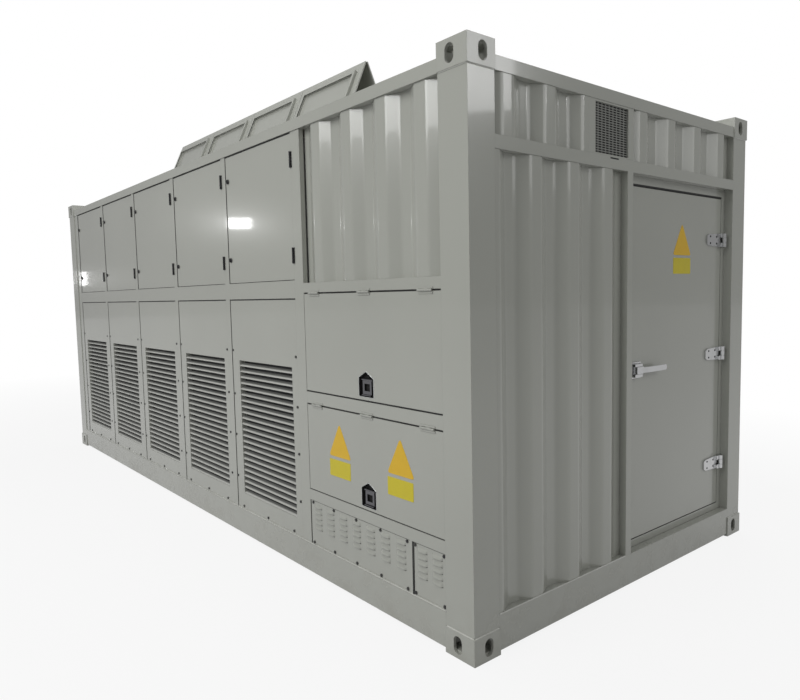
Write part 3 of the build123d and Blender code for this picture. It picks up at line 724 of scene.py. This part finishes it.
@dataclass
class CorrugatedWalls:
    """Folded wall sheets with rounded bends, and the flat panel round the end vent."""

    kit: Kit
    depth: float = 0.036
    crest: float = 0.074
    slope: float = 0.068
    bend: float = 0.011
    sheet: float = 0.004
    step: float = 0.004
    column: float = 1.740
    flap_head: float = 1.645
    door_edge: float = -0.084
    end_rail: Span = (2.160, 2.218)
    vent_panel: Span = (-0.410, -0.029)
    set_in: float = 0.001
    vent_frame: float = 0.006
    crests: Tuple[Span, ...] = ((1.895, 0.278), (1.895, 0.278), (-0.792, 0.272), (-0.973, 0.278),
                                (0.062, 0.280), (-0.834, 0.278))

    def depth_at(self, u: np.ndarray, first: float, pitch: float) -> np.ndarray:
        """How far the sheet lies back at u.

        The straight trapezoid is depth times (distance from the nearest crest centre less half a
        crest) over the slope's width, held between 0 and 1. Averaging it over one bend width
        rounds its folds.

        Args:
            u: Places along the wall.
            first: Centre of one crest.
            pitch: Crest to crest.

        Returns:
            Depths in metres.
        """
        shift = np.linspace(-self.bend, self.bend, 9)[None]
        at = u[:, None] + shift - first
        phase = np.abs(at - pitch * np.round(at / pitch))
        straight = np.clip((phase - self.crest / 2) / self.slope, 0, 1)
        return self.depth * straight.mean(axis=1)

    def sheet_shell(self, u0: float, u1: float, z0: float, z1: float, face: float, across: bool,
                    first: float, pitch: float) -> Shell:
        """One closed sheet.

        The outer side is face - sign * depth(u), the inner side lies one thickness behind, and
        the loop of both is carried straight up from z0 to z1.

        Args:
            u0: Start along the wall.
            u1: End along the wall.
            z0: Foot.
            z1: Head.
            face: Outer plane, signed.
            across: True for an end wall, which runs along Y.
            first: Centre of one crest.
            pitch: Crest to crest.

        Returns:
            The shell.
        """
        sign = 1.0 if face > 0 else -1.0
        count = max(8, int((u1 - u0) / self.step))
        u = np.linspace(u0, u1, count)
        outer = face - sign * self.depth_at(u, first, pitch)
        loop_u = np.concatenate([u, u[::-1]])
        loop_v = np.concatenate([outer, outer[::-1] - sign * self.sheet])
        n = len(loop_u)
        xy = (loop_v, loop_u) if across else (loop_u, loop_v)
        rings = [np.stack([*xy, np.full(n, z)], axis=1) for z in (z0, z1)]
        i = np.arange(count - 1)
        caps = np.stack([i, i + 1, n - 2 - i, n - 1 - i], axis=1)
        walls = Surface.grid_faces(2, n, False, True)
        return np.concatenate(rings), [walls, caps, (caps + n)[:, ::-1]]

    def build(self) -> None:
        """Makes the sheets where the CAD ones stand, each with its first crest and pitch."""
        low, high = corners_of("corrugated_walls")
        post = corners_of("corner_posts")[1] - POST
        foot, top, side = low[2], high[2], low[1]
        x = high[0] - self.set_in
        rail, head = self.end_rail
        runs = ((self.column, post[0], self.flap_head, top, side, False),
                (self.column, post[0], foot, top, -side, False),
                (-post[1], self.door_edge, foot, rail, x, True),
                (-post[1], self.vent_panel[0], head, top, x, True),
                (self.vent_panel[1], post[1], head, top, x, True),
                (-post[1], post[1], foot, top, low[0], True))
        shells = [self.sheet_shell(*run, *crest) for run, crest in zip(runs, self.crests)]
        outer = Surface.rectangle(*self.vent_panel, head, top)
        inner = Surface.rectangle(*VENT_Y, *VENT_Z)
        back = x - self.vent_frame
        loops = [np.insert(outline, 0, plane, axis=1)
                 for plane, outline in ((x, outer), (x, inner), (back, inner), (back, outer))]
        shells.append((np.concatenate(loops), [Surface.grid_faces(4, 4, True, True)]))
        piece = Surface.gather("corrugated_sheets", shells, smooth=True)
        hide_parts("corrugated_walls")
        self.kit.finish_piece(piece, "grey_green_enamel", "container", "enamel")


@dataclass
class VentPanels:
    """Two low bolted plates with rows of pressed hoods, smooth like drawn sheet."""

    kit: Kit
    plate: float = 0.003
    hood_h: float = 0.018
    hood_out: float = 0.0090
    hood_grid: Tuple[int, int] = (7, 17)
    sunk: float = 0.0004
    corner: float = 0.006
    shadow_share: float = 0.47
    rows: Tuple[float, ...] = (0.279, 0.309, 0.339, 0.369, 0.399)
    plates: Tuple[Tuple[float, float, Tuple[float, ...], float], ...] = (
        (1.744, 2.602, tuple(1.818 + 0.120 * k for k in range(7)), 0.072),
        (2.630, 2.848, (2.690, 2.792), 0.068))

    def hood(self, x: float, z: float, long: float, y: float) -> Shell:
        """One pressed hood, open downwards.

        Over u from -1 to 1 and v from 0 to 1 the hood stands out by out * (1 - u^6) * sin(pi/2 *
        (1 - v))^0.8 at height v, so that it is full at its lower lip and dies into the plate
        above. A flat floor closes it underneath.

        Args:
            x: Middle of the hood.
            z: Its lower lip.
            long: Its length.
            y: The plate's face.

        Returns:
            The shell.
        """
        rows, columns = self.hood_grid
        u = np.linspace(-1, 1, columns)[None, :]
        v = np.linspace(0, 1, rows)[:, None]
        out = self.hood_out * (1 - u ** 6) * np.sin(np.pi / 2 * (1 - v)) ** 0.8
        px = np.broadcast_to(x + u * long / 2, out.shape)
        pz = np.broadcast_to(z + v * self.hood_h, out.shape)
        front = np.stack([px, y - out, pz], axis=2)
        back = np.stack([px[::-1], np.full_like(out, y + self.sunk), pz[::-1]], axis=2)
        loop = np.concatenate([front, back[:1], back[-1:]])
        side = np.arange(len(loop))[None] * columns
        return loop.reshape(-1, 3), [Surface.grid_faces(len(loop), columns, True, False), side,
                                     (side + columns - 1)[:, ::-1]]

    def build(self) -> None:
        """Makes both plates with their hoods, and a black strip under each hood, painted shade in
        its mouth.
        """
        low, high = corners_of("vent_panels")
        y = high[1] - self.plate
        place = side_place(y)
        edge = np.array([[0.0, -self.plate], [0.0, -0.0006], [-0.0006, 0.0]])
        mouth = np.array([[0.0, 0.0], [0.0, 0.0014], [-0.0006, 0.0018]])
        shells: List[Shell] = []
        hood_shadows: List[Shell] = []
        for x0, x1, spots, long in self.plates:
            outline = Surface.rounded(Surface.rectangle(x0, x1, low[2], high[2]), self.corner)
            shells.append(Surface.carried(outline, edge, False, place))
            shells += [self.hood(x, z, long, y) for x in spots for z in self.rows]
            # Painted shade: a flush black strip under each hood stands for the shadow in its open
            # mouth.
            half = long * self.shadow_share
            hood_shadows += [Surface.carried(Surface.rectangle(x - half, x + half, z - 0.0034, z - 0.0002),
                                      mouth, False, place) for x in spots for z in self.rows]
        piece = Surface.gather("pressed_vent_panels", shells, smooth=True)
        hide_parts("vent_panels")
        self.kit.finish_piece(piece, "grey_green_enamel", "container", "enamel")
        self.kit.add("vent_hood_shadows", hood_shadows, "pit_black", "container", "black_plastic")


@dataclass
class Seals:
    """Black rubber seals and strips round the side doors, the flaps, the louvred panels and the end
    door; the strips, and partly the seals, are painted shadow in the gaps.

    A hinged leaf's box reaches past its opening by hinge_lip, where its knuckles stand out.
    """

    kit: Kit
    hinge_lip: float = 0.009
    door_w: float = 0.816
    panel_w: float = 0.830
    clear: float = 0.003
    corner: float = 0.004
    flap_feet: Tuple[Tuple[str, float], ...] = (("flap_upper", 0.008), ("flap_lower", 0.006))
    vent_face: float = -1.2042
    vent_joint: Span = (2.602, 2.631)
    joint_strips: Tuple[float, float, float] = (2.6212, 2.6282, 2.6286)

    def ring(self, corners: np.ndarray, place: np.ndarray, wide: float, deep: float) -> Shell:
        """A strip inside an opening.

        The strip's section is a rectangle with its two front corners cut off, carried round the
        opening's outline.

        Args:
            corners: The opening.
            place: Its plane.
            wide: Width of the strip, inwards.
            deep: Height of the strip.

        Returns:
            The shell.
        """
        section = np.array([[0.0, 0.0], [0.0, deep * 0.6], [-wide * 0.2, deep], [-wide * 0.8, deep],
                            [-wide, deep * 0.6], [-wide, 0.0]])
        return Surface.carried(Surface.rounded(corners, self.corner), section, True, place)

    def strip(self, u: Span, v: Span, place: np.ndarray, deep: float) -> Shell:
        """A straight strip over the spans u and v: a box whose front edges are cut off."""
        profile = np.array([[0.0, 0.0], [0.0, deep * 0.7], [-deep * 0.3, deep]])
        return Surface.carried(Surface.rectangle(*u, *v), profile, False, place)

    def doors(self) -> Tuple[List[Shell], List[Shell]]:
        """Strips over, beside and under the side doors, painted shadow in the gaps, and the rings
        behind them.

        Returns:
            The strips and the rings.
        """
        strips: List[Shell] = []
        rings: List[Shell] = []
        for k in range(1, 6):
            low, high = corners_of(f"side_door_{k}")
            foot, head, x1 = low[2], high[2], high[0] - self.hinge_lip
            x0 = x1 - self.door_w
            long = (x0 - 0.004, x1 + self.clear)
            back = side_place(low[1] + 0.014)
            strips += [self.strip(long, (head + 0.0008, head + 0.008), back, 0.004),
                       self.strip((x0 - 0.004, x0 - 0.0012), (foot, head), back, 0.004),
                       self.strip(long, (foot - 0.0028, foot - 0.0008), back, 0.004)]
            opening = Surface.rectangle(*long, foot - self.clear, head + self.clear)
            rings.append(self.ring(opening, side_place(high[1] + 0.0052), 0.016, 0.0048))
        return strips, rings

    def flaps(self) -> Tuple[List[Shell], List[Shell]]:
        """Strips over and under both flaps, painted shadow in the gaps, and the rings behind them.

        Returns:
            The strips and the rings.
        """
        strips: List[Shell] = []
        rings: List[Shell] = []
        back = side_place(SIDE_FACE + 0.010)
        for name, below in self.flap_feet:
            low, high = corners_of(name)
            foot, head = low[2], high[2] - self.hinge_lip
            long = (low[0] - self.clear, high[0] + self.clear)
            strips += [self.strip(long, (head + 0.001, head + 0.008), back, 0.0075),
                       self.strip(long, (foot - below, foot - 0.0015), back, 0.0075)]
            opening = Surface.rectangle(*long, foot - self.clear, head - self.clear)
            rings.append(self.ring(opening, side_place(high[1] + 0.0060), 0.014, 0.0052))
        return strips, rings

    def panels(self) -> List[Shell]:
        """Strips along the heads and left edges of the louvred panels, on both sides: painted
        shadow in the seams.

        Returns:
            The strips.
        """
        low, high = corners_of("louvre_panels")
        foot, head = low[2], high[2] - 0.0055
        strips: List[Shell] = []
        for k in range(5):
            x0 = high[0] - self.panel_w - BAY_PITCH * k
            for sign in (-1, 1):
                wall = side_place(sign * (high[1] + 0.0002), sign)
                over = (head, high[2] + 0.0016)
                strips += [self.strip((x0, x0 + self.panel_w), over, wall, 0.0010),
                           self.strip((x0 - 0.0008, x0 + 0.0045), (foot, head), wall, 0.0010)]
        return strips

    def vents(self) -> List[Shell]:
        """Strips beside, between and over the two vented plates: painted shadow in the seams.

        Returns:
            The strips.
        """
        low, high = corners_of("vent_panels")
        wall = side_place(self.vent_face)
        tall = (low[2], high[2] + 0.002)
        over = (high[2] - 0.0010, high[2] + 0.0018)
        start, middle, end = self.joint_strips
        return [self.strip((low[0] - 0.0036, low[0] + 0.0008), tall, wall, 0.0010),
                self.strip((end, end + 0.0044), tall, wall, 0.0010),
                self.strip((start, middle), tall, side_place(SIDE_FACE), 0.0006),
                self.strip((low[0], self.vent_joint[0]), over, wall, 0.0008),
                self.strip((self.vent_joint[1], high[0]), over, wall, 0.0008)]

    def build(self) -> None:
        """Makes the seals and the painted gap shadows in the side, then those of the end door."""
        door_strips, door_rings = self.doors()
        flap_strips, flap_rings = self.flaps()
        shells = door_strips + flap_strips + self.panels() + door_rings + flap_rings + self.vents()
        # Painted shadow: the black strips stand for the shade in the gaps and seams.
        self.kit.add("seals_and_gap_shadow_strips", shells, "rubber_seal_and_gap_shadow", "container", "black_plastic")
        low, high = corners_of("end_door")
        place = end_place(high[0])
        opening = Surface.rectangle(low[1] - 0.0066, high[1] + 0.0056,
                                    low[2] - 0.0056, high[2] + 0.0056)
        section = np.array([[0.0, -0.040], [0.0, -0.0015], [-0.0029, -0.0020], [-0.0029, -0.040]])
        ring = Surface.carried(Surface.rounded(opening, self.corner), section, True, place)
        # Painted shadow: a black strip over the end door stands for the shade under the portal
        # head.
        head = self.strip((low[1] - 0.006, high[1] + 0.005), (high[2] + 0.0052, high[2] + 0.0135),
                          place, 0.0008)
        self.kit.add("end_door_seal_and_head_shadow", [ring, head], "rubber_seal_and_gap_shadow", "container", "black_plastic")


@dataclass
class SlottedVent:
    """Slotted grille in the end vent, with a black filter behind it and painted shade of a drain
    slot under it.
    """

    kit: Kit
    columns: int = 9
    rows: int = 20
    slat: float = 0.0056
    bar: float = 0.0085
    thick: float = 0.0014
    crown: float = 0.0005
    bar_back: float = 0.0006
    filter_back: float = 0.010
    drain_shade: Tuple[float, float, float, float] = (-0.236, -0.165, 2.2075, 2.2140)

    def bars(self, spots: np.ndarray, wide: float, ends: Span, front: float, along: int) -> Shell:
        """A row of equal crowned bars across the opening.

        Every bar's section is a flat back and a crowned front: three front points at -1, 0 and 1
        times half the width, and two behind. The section is carried from one end to the other,
        and repeated at each spot.

        Args:
            spots: Middles of the bars.
            wide: Width of a bar.
            ends: Where the bars start and stop.
            front: X of the crown.
            along: 1 for bars along Y, 2 for upright bars.

        Returns:
            The shell.
        """
        across = np.array([-1.0, 0.0, 1.0, 1.0, -1.0]) * wide / 2
        depth = np.array([self.crown, 0.0, self.crown, self.thick, self.thick])
        points = np.empty((len(spots), 2, 5, 3))
        points[..., 0] = front - depth
        points[..., along] = np.array(ends)[None, :, None]
        points[..., 3 - along] = spots[:, None, None] + across
        start = np.arange(len(spots))[:, None, None] * 10
        walls = Surface.grid_faces(2, 5, False, True)[None] + start
        caps = np.array([[0, 1, 2, 3, 4], [9, 8, 7, 6, 5]])[None] + start
        return points.reshape(-1, 3), [walls.reshape(-1, 4), caps.reshape(-1, 5)]

    def build(self) -> None:
        """Makes the grille, the filter and the painted shade of the slot under the vent."""
        low, high = corners_of("vent_grille")
        rise = np.linspace(*VENT_Z, self.rows + 1)
        run = np.linspace(*VENT_Y, self.columns + 1)
        shells = [self.bars(rise, self.slat, (low[1], high[1]), high[0], 1),
                  self.bars(run, self.bar, (low[2], high[2]), high[0] - self.bar_back, 2)]
        piece = Surface.gather("slotted_vent_grille", shells)
        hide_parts("vent_grille")
        self.kit.finish_piece(piece, "mesh_paint", "container", "black_metal")
        back = Surface.carried(Surface.rectangle(low[1], high[1], low[2], high[2]),
                               np.array([[0.0, 0.0], [0.0, 0.003]]), False,
                               end_place(low[0] - self.filter_back))
        # Painted shade: a flush black patch stands for the dark inside of the drain slot.
        mouth = np.array([[0.0, 0.0], [0.0, 0.0004], [-0.0004, 0.0006]])
        slot = Surface.carried(Surface.rounded(Surface.rectangle(*self.drain_shade), 0.003), mouth, False,
                               end_place(corners_of("corner_posts")[1][0]))
        self.kit.add("vent_filter_and_drain_shade", [back, slot], "pit_black", "container",
                     "black_plastic")


@dataclass
class SillBeads:
    """Sealant beads between the sills and the panels that stand on them, pale as a painted
    highlight.
    """

    kit: Kit
    face: float = 1.2040
    high: float = 0.0046
    deep: float = 0.0085
    inset: float = 0.002
    rail_highlight_ends: Span = (0.158, -0.086)
    rail_face: float = 0.0026

    def build(self) -> None:
        """Makes one bead along each long side and one on the control end's rail."""
        end = (corners_of("corner_posts")[1] - POST)[0] - self.inset
        sill = corners_of("vent_panels")[0][2] - 0.004
        section = np.array([[0.0, 0.0], [0.0, self.deep * 0.7], [-self.high * 0.25, self.deep]])
        along = Surface.rectangle(-end, end, sill, sill + self.high)
        shells = [Surface.carried(along, section, False, side_place(s * self.face, s))
                  for s in (-1, 1)]
        # Painted highlight: a pale strip along the top edge of the control end's rail.
        _, rail = corners_of("bottom_rails")
        low = np.array([[0.0, 0.0], [0.0, 0.0030], [-0.0010, 0.0036]])
        start, stop = self.rail_highlight_ends
        edge = Surface.rectangle(start - rail[1], stop, rail[2] - 0.0020, rail[2] + 0.0040)
        shells.append(Surface.carried(edge, low, False, end_place(rail[0] - self.rail_face)))
        self.kit.add("sill_beads_painted_highlight", shells, "bead_enamel_painted_highlight", "container", "enamel", smooth=True)


@dataclass
class HingeScrews:
    """Dark socket screws in the end door's straps and latch body."""

    kit: Kit
    radius: float = 0.0062
    rise: float = 0.0016
    corners: int = 12
    proud: float = 0.010
    straps: Tuple[float, ...] = (1.857, 1.169, 0.487)
    columns: Span = (0.866, 0.942)
    rows: Span = (-0.020, 0.020)
    latch: Tuple[Span, ...] = ((0.102, 1.112), (0.102, 1.174))

    def head(self, y: float, z: float, x: float) -> Shell:
        """One screw head: a low dome with a sunk middle, its profile carried round a circle.

        Args:
            y: Middle.
            z: Middle.
            x: Face that it sits on.

        Returns:
            The shell.
        """
        turn = np.linspace(0, 2 * np.pi, self.corners, endpoint=False)
        circle = self.radius * np.stack([np.cos(turn), np.sin(turn)], axis=1) + np.array([y, z])
        profile = np.array([[0.0, 0.0], [-0.0006, self.rise * 0.7], [-0.0020, self.rise],
                            [-0.0030, self.rise], [-0.0034, self.rise * 0.4]])
        return Surface.carried(circle, profile, False, end_place(x))

    def build(self) -> None:
        """Makes four screws in each strap and two in the latch body."""
        face = corners_of("end_door")[1][0] + self.proud
        spots = [(y, z + dz) for z in self.straps for y in self.columns for dz in self.rows]
        shells = [self.head(*spot, face) for spot in spots + list(self.latch)]
        self.kit.add("end_door_screws", shells, "pit_black", "end_door", "black_metal", smooth=True)


@dataclass
class LatchDishes:
    """House-shaped black liners in the flaps, with a light rolled rim."""

    kit: Kit
    half_w: float = 0.0595
    half_h: float = 0.0625
    drop: float = 0.028
    corner: float = 0.005

    def outline(self, x: float, z: float) -> np.ndarray:
        """The five-sided outline round (x, z), point up, with rounded corners."""
        w, h = self.half_w, self.half_h
        corners = np.array([[-w, -h], [w, -h], [w, h * 0.5], [0.0, h], [-w, h * 0.5]])
        return Surface.rounded(corners + np.array([x, z]), self.corner)

    def build(self) -> None:
        """Makes a liner and a rim in each flap.

        The liner's section runs from the mouth down the wall and over the floor, and back 0.8 mm
        behind, so that it is a tray of sheet.
        """
        tray = np.array([[-0.0002, 0.0004], [-0.0012, -0.0180], [-0.0130, -0.0188],
                         [-0.0130, -0.0196], [-0.0004, -0.0196], [0.0, 0.0004]])
        lip = np.array([[-0.0008, 0.0], [-0.0002, 0.0012], [0.0018, 0.0012], [0.0026, 0.0]])
        sheet = np.array([[-0.0126, -0.0195], [-0.0126, -0.0189]])
        place = side_place(SIDE_FACE)
        for name in ("flap_upper", "flap_lower"):
            low, high = corners_of(f"{name}_paddle")
            outline = self.outline((low[0] + high[0]) / 2, high[2] - self.drop)
            liner = [Surface.carried(outline, tray, True, place),
                     Surface.carried(outline, sheet, False, place)]
            self.kit.add(f"{name}_dish", liner, "pit_black", name, "black_plastic")
            rim = [Surface.carried(outline, lip, True, place)]
            self.kit.add(f"{name}_dish_rim", rim, "satin_blades", name, "zinc", smooth=True)


@dataclass
class BlankPlates:
    """Bare yellow plates: a rounded triangle over a rectangle, with nothing on them.

    A triangle is given by the middle of its base, the heights of base and point, and its width.
    """

    kit: Kit
    thick: float = 0.0012
    triangle_corner: float = 0.012
    rectangle_corner: float = 0.006
    door_triangles: Tuple[Tuple[float, ...], ...] = ((0.5495, 1.759, 1.938, 0.199),)
    door_rectangles: Tuple[Tuple[float, ...], ...] = ((0.454, 0.645, 1.654, 1.744),)
    flap_triangles: Tuple[Tuple[float, ...], ...] = ((2.050, 0.725, 0.904, 0.200),
                                                     (2.549, 0.725, 0.904, 0.200))
    flap_rectangles: Tuple[Tuple[float, ...], ...] = ((1.953, 2.143, 0.617, 0.708),
                                                      (2.450, 2.640, 0.619, 0.708))

    def plate(self, corners: np.ndarray, radius: float, place: np.ndarray) -> Shell:
        """A thin plate with rounded corners and a softened edge: its edge profile carried round."""
        profile = np.array([[0.0, 0.0], [0.0, self.thick * 0.6], [-self.thick * 0.5, self.thick]])
        return Surface.carried(Surface.rounded(corners, radius), profile, False, place)

    def triangle(self, u: float, v0: float, v1: float, wide: float) -> np.ndarray:
        """Corners of an upright triangle, of shape (3, 2)."""
        return np.array([[u - wide / 2, v0], [u + wide / 2, v0], [u, v1]])

    def build(self) -> None:
        """Makes the plates on the end door and the lower flap."""
        _, high = corners_of("end_door")
        groups = (("end_door", end_place(high[0]), self.door_triangles, self.door_rectangles),
                  ("flap_lower", side_place(SIDE_FACE), self.flap_triangles, self.flap_rectangles))
        for body, place, triangles, rectangles in groups:
            shells = [self.plate(self.triangle(*sizes), self.triangle_corner, place)
                      for sizes in triangles]
            self.kit.add(f"{body}_triangle_plates", shells, "plate_amber", body, "panel_grey")
            shells = [self.plate(Surface.rectangle(*sizes), self.rectangle_corner, place)
                      for sizes in rectangles]
            self.kit.add(f"{body}_rectangle_plates", shells, "plate_lemon", body, "panel_grey")


@dataclass
class WeldBeads:
    """Fillet welds where the posts meet the corner castings, pale as a painted highlight."""

    kit: Kit
    radius: float = 0.0045
    ripple: float = 0.0045
    corners: int = 6
    margin: float = 0.003

    def bead(self, start: np.ndarray, end: np.ndarray) -> Shell:
        """One rippled bead.

        Around each place s along the line, the section is a circle of radius r * (0.85 + 0.15 *
        |cos(pi * s / ripple)|), shrunk to nothing at both ends by a square root.

        Args:
            start: First end.
            end: Second end.

        Returns:
            The shell.
        """
        length = float(np.linalg.norm(end - start))
        count = max(6, int(length / self.ripple * 3))
        s = np.linspace(0, length, count)
        fade = np.sqrt(np.clip(np.minimum(s, length - s) / self.radius, 0.02, 1))
        r = self.radius * (0.85 + 0.15 * np.abs(np.cos(np.pi * s / self.ripple))) * fade
        way = (end - start) / length
        across = np.cross(way, [0.0, 0.0, 1.0] if abs(way[2]) < 0.9 else [1.0, 0.0, 0.0])
        across /= np.linalg.norm(across)
        other = np.cross(way, across)
        turn = np.linspace(0, 2 * np.pi, self.corners, endpoint=False)
        ring = np.cos(turn)[None, :, None] * across + np.sin(turn)[None, :, None] * other
        points = start + s[:, None, None] * way + r[:, None, None] * ring
        return points.reshape(-1, 3), Surface.tube_faces(count, self.corners)

    def build(self) -> None:
        """Makes a bead on both outer faces of every post, at the casting below and above it."""
        low, high = corners_of("bottom_castings")
        _, top = corners_of("top_castings")
        _, outer = corners_of("corner_posts")
        x1, y1 = outer[:2] - self.margin
        x0, y0 = (outer - POST)[:2] + self.margin
        shells: List[Shell] = []
        for sx in (-1, 1):
            for sy in (-1, 1):
                for z in (high[2], top[2] - (high[2] - low[2])):
                    side = np.array([sx, sy, 1])
                    shells.append(self.bead(side * [x0, outer[1], z], side * [x1, outer[1], z]))
                    shells.append(self.bead(side * [outer[0], y0, z], side * [outer[0], y1, z]))
        # Painted highlight: the welds take the pale copy of the enamel.
        self.kit.add("casting_welds_painted_highlight", shells, "bead_enamel_painted_highlight", "container", "enamel", smooth=True)


@dataclass
class ResistorCoils:
    """Edgewise-wound ribbon elements round the bars of the upper trays."""

    kit: Kit
    bays: int = 4
    first_bay: float = 0.338
    bars: int = 6
    bar_pitch: float = 0.112
    end_gap: float = 0.03
    trays: int = 3
    tray_pitch: float = 0.205
    top_gap: float = 0.025
    radius: float = 0.0185
    turns_pitch: float = 0.030
    steps: int = 8

    def coil(self, x: float, y0: float, y1: float, z: float) -> Shell:
        """A flat ribbon wound into a long coil.

        Along s the ribbon's middle runs round a circle of the coil's radius while it moves in Y,
        one turn to a pitch; its four corners lie 1 mm to either side in Y and 3 mm in and out.

        Args:
            x: Axis place.
            y0: One end.
            y1: Other end.
            z: Axis height.

        Returns:
            The shell.
        """
        turns = (y1 - y0) / self.turns_pitch
        t = np.linspace(0, turns * 2 * np.pi, int(turns * self.steps))
        middle = y0 + (y1 - y0) * t / t[-1]
        corner = np.array([[-0.001, -0.003], [0.001, -0.003], [0.001, 0.003], [-0.001, 0.003]])
        r = self.radius + corner[None, :, 1]
        points = np.stack([x + r * np.cos(t)[:, None], middle[:, None] + corner[None, :, 0],
                           z + r * np.sin(t)[:, None]], axis=2)
        return points.reshape(-1, 3), Surface.tube_faces(len(t), 4)

    def build(self) -> None:
        """Makes the coils of each bay, in its topmost trays."""
        low, high = corners_of("resistor_elements")
        half = (self.bars - 1) / 2
        y0, y1, top = low[1] + self.end_gap, high[1] - self.end_gap, high[2] - self.top_gap
        for bay in range(self.bays):
            middle = low[0] + self.first_bay + BAY_PITCH * bay
            shells = [self.coil(middle + self.bar_pitch * (c - half), y0, y1,
                                top - self.tray_pitch * k)
                      for k in range(self.trays) for c in range(self.bars)]
            self.kit.add(f"resistor_coils_{bay + 1}", shells, "heat_tinted_alloy", "container",
                         "resistor", smooth=True)


# ------------------------------------------------------------------ carried-over nodes
NODE_FINISH: Dict[str, str] = {
    "bottom_castings": "enamel_cast", "top_castings": "enamel_cast",
    "floor_crossmembers": "inner_steel", "floor_plate": "inner_steel", "vent_grille": "mesh_paint",
    "louvre_blades": "louvre_enamel_painted_light", "louvre_screens": "black_screen",
    "panel_bolts": "black_latch", "frame_hinges": "enamel_black_hinges",
    "flap_upper_paddle": "smoked_chrome", "flap_lower_paddle": "smoked_chrome",
    "end_door_fittings": "polished_chrome", "end_door_lever": "polished_chrome",
    "end_door_brackets": "polished_chrome",
    "resistor_racks": "inner_steel", "resistor_elements": "heat_tinted_alloy",
    "fan_shrouds": "inner_steel", "partitions": "panel_grey", "service_panels": "panel_grey",
    "busbars": "copper_bar",
}


def finish_of(node: str) -> str:
    """The material of a carried-over node.

    Args:
        node: The node's name.

    Returns:
        The material's name.
    """
    if node in NODE_FINISH:
        return NODE_FINISH[node]
    if "latch" in node:
        return "black_latch"
    if node.startswith("side_door"):
        return "enamel_black_hinges"
    if node.startswith("fan_impeller"):
        return "satin_blades"
    return "grey_green_enamel"


# ------------------------------------------------------------------ studio
@dataclass
class Studio:
    """Floor, world, lamps and camera."""

    finishes: Finishes
    eye: Point = (4.9450, -3.1572, 1.5700)
    azimuth: float = 0.8846
    elevation: float = -0.0819
    roll: float = -0.0217
    lens: float = 30.338
    world_light: float = 0.33
    floor_size: float = 60.0
    lamps: Tuple[Tuple[str, Point, Point, Span, float], ...] = (
        ("key", (1.5, -9.0, 7.0), (0.0, 0.0, 1.2), (6.0, 6.0), 620.0),
        ("fill", (9.5, 2.5, 5.5), (1.0, 0.0, 1.3), (5.0, 5.0), 112.0),
        ("top", (0.0, 0.0, 9.5), (0.0, 0.0, 0.0), (7.0, 7.0), 360.0),
        ("side_glint", (-10.9, -7.1, 3.45), (-1.5, -1.2, 1.9), (0.55, 0.26), 9.0),
        ("far_glint", (-13.5, -4.0, 2.15), (-2.5, -1.2, 1.8), (0.10, 0.34), 1.2),
        ("rear", (-3.0, 9.5, 6.5), (-0.5, 1.0, 1.2), (6.0, 6.0), 420.0),
        ("end_glint", (9.0, 5.3, 5.4), (3.0, -0.9, 2.3), (0.9, 1.6), 22.0))

    def floor(self) -> None:
        """A wide floor sheet that takes soft shadows near the object and is white further out."""
        size = self.floor_size
        corners = np.insert(Surface.rectangle(-size, size, -size, size), 2, 0.0, axis=1)
        made = Surface.from_arrays("floor", corners, [np.arange(4)[None]])
        if made.data.polygons[0].normal.z < 0:
            made.data.flip_normals()
        self.finishes.dress(made, "studio_floor")

    def world(self) -> None:
        """White to the eye and softer as light on the object."""
        world = bpy.data.worlds.new("studio")
        bpy.context.scene.world = world
        world.use_nodes = True
        w = Wiring(world.node_tree)
        seen = w.rays("Is Camera Ray", "Is Transmission Ray")
        ground = w.node("ShaderNodeBackground", {}, {
            "Color": (1.0, 1.0, 1.0), "Strength": self.world_light + (1 - self.world_light) * seen})
        w.node("ShaderNodeOutputWorld", {}, {"Surface": ground.outputs[0]})

    def lights(self) -> None:
        """Large soft lamps aimed at the object."""
        for name, place, aim, (wide, high), power in self.lamps:
            data = bpy.data.lights.new(name, "AREA")
            data.shape = "RECTANGLE"
            data.size = wide
            data.size_y = high
            data.energy = power
            lamp = bpy.data.objects.new(name, data)
            lamp.location = place
            lamp.rotation_euler = (Vector(aim) - Vector(place)).to_track_quat("-Z", "Y").to_euler()
            bpy.context.scene.collection.objects.link(lamp)

    def camera(self) -> None:
        """Camera at the fitted place, with its small roll."""
        ca, sa = math.cos(self.azimuth), math.sin(self.azimuth)
        ce, se = math.cos(self.elevation), math.sin(self.elevation)
        forward = Vector((-sa * ce, ca * ce, se))
        right = forward.cross(Vector((0, 0, 1))).normalized()
        up = right.cross(forward)
        cr, sr = math.cos(self.roll), math.sin(self.roll)
        data = bpy.data.cameras.new("camera")
        data.sensor_width = 36.0
        data.lens = self.lens
        data.clip_end = 300.0
        made = bpy.data.objects.new("camera", data)
        basis = Matrix((right * cr + up * sr, up * cr - right * sr, -forward)).transposed().to_4x4()
        made.matrix_world = Matrix.Translation(Vector(self.eye)) @ basis
        bpy.context.scene.collection.objects.link(made)
        bpy.context.scene.camera = made

    def build(self) -> None:
        """Sets the whole studio."""
        self.floor()
        self.world()
        self.lights()
        self.camera()
        bpy.context.scene.view_settings.view_transform = "Standard"
        LOG.info("studio ready")


def main() -> None:
    """Builds and dresses everything in order."""
    logging.basicConfig(level=logging.INFO, format="%(name)s: %(message)s")
    finishes = Finishes()
    for name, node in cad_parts.items():
        finishes.dress(node, finish_of(name))
    kit = Kit(finishes)
    for assembly in (CorrugatedWalls, VentPanels, SlottedVent, SillBeads, HingeScrews, Seals,
                     LatchDishes, BlankPlates, WeldBeads, ResistorCoils):
        assembly(kit).build()
        LOG.info("%s done", assembly.__name__)
    Studio(finishes).build()


if __name__ == "__main__":
    main()
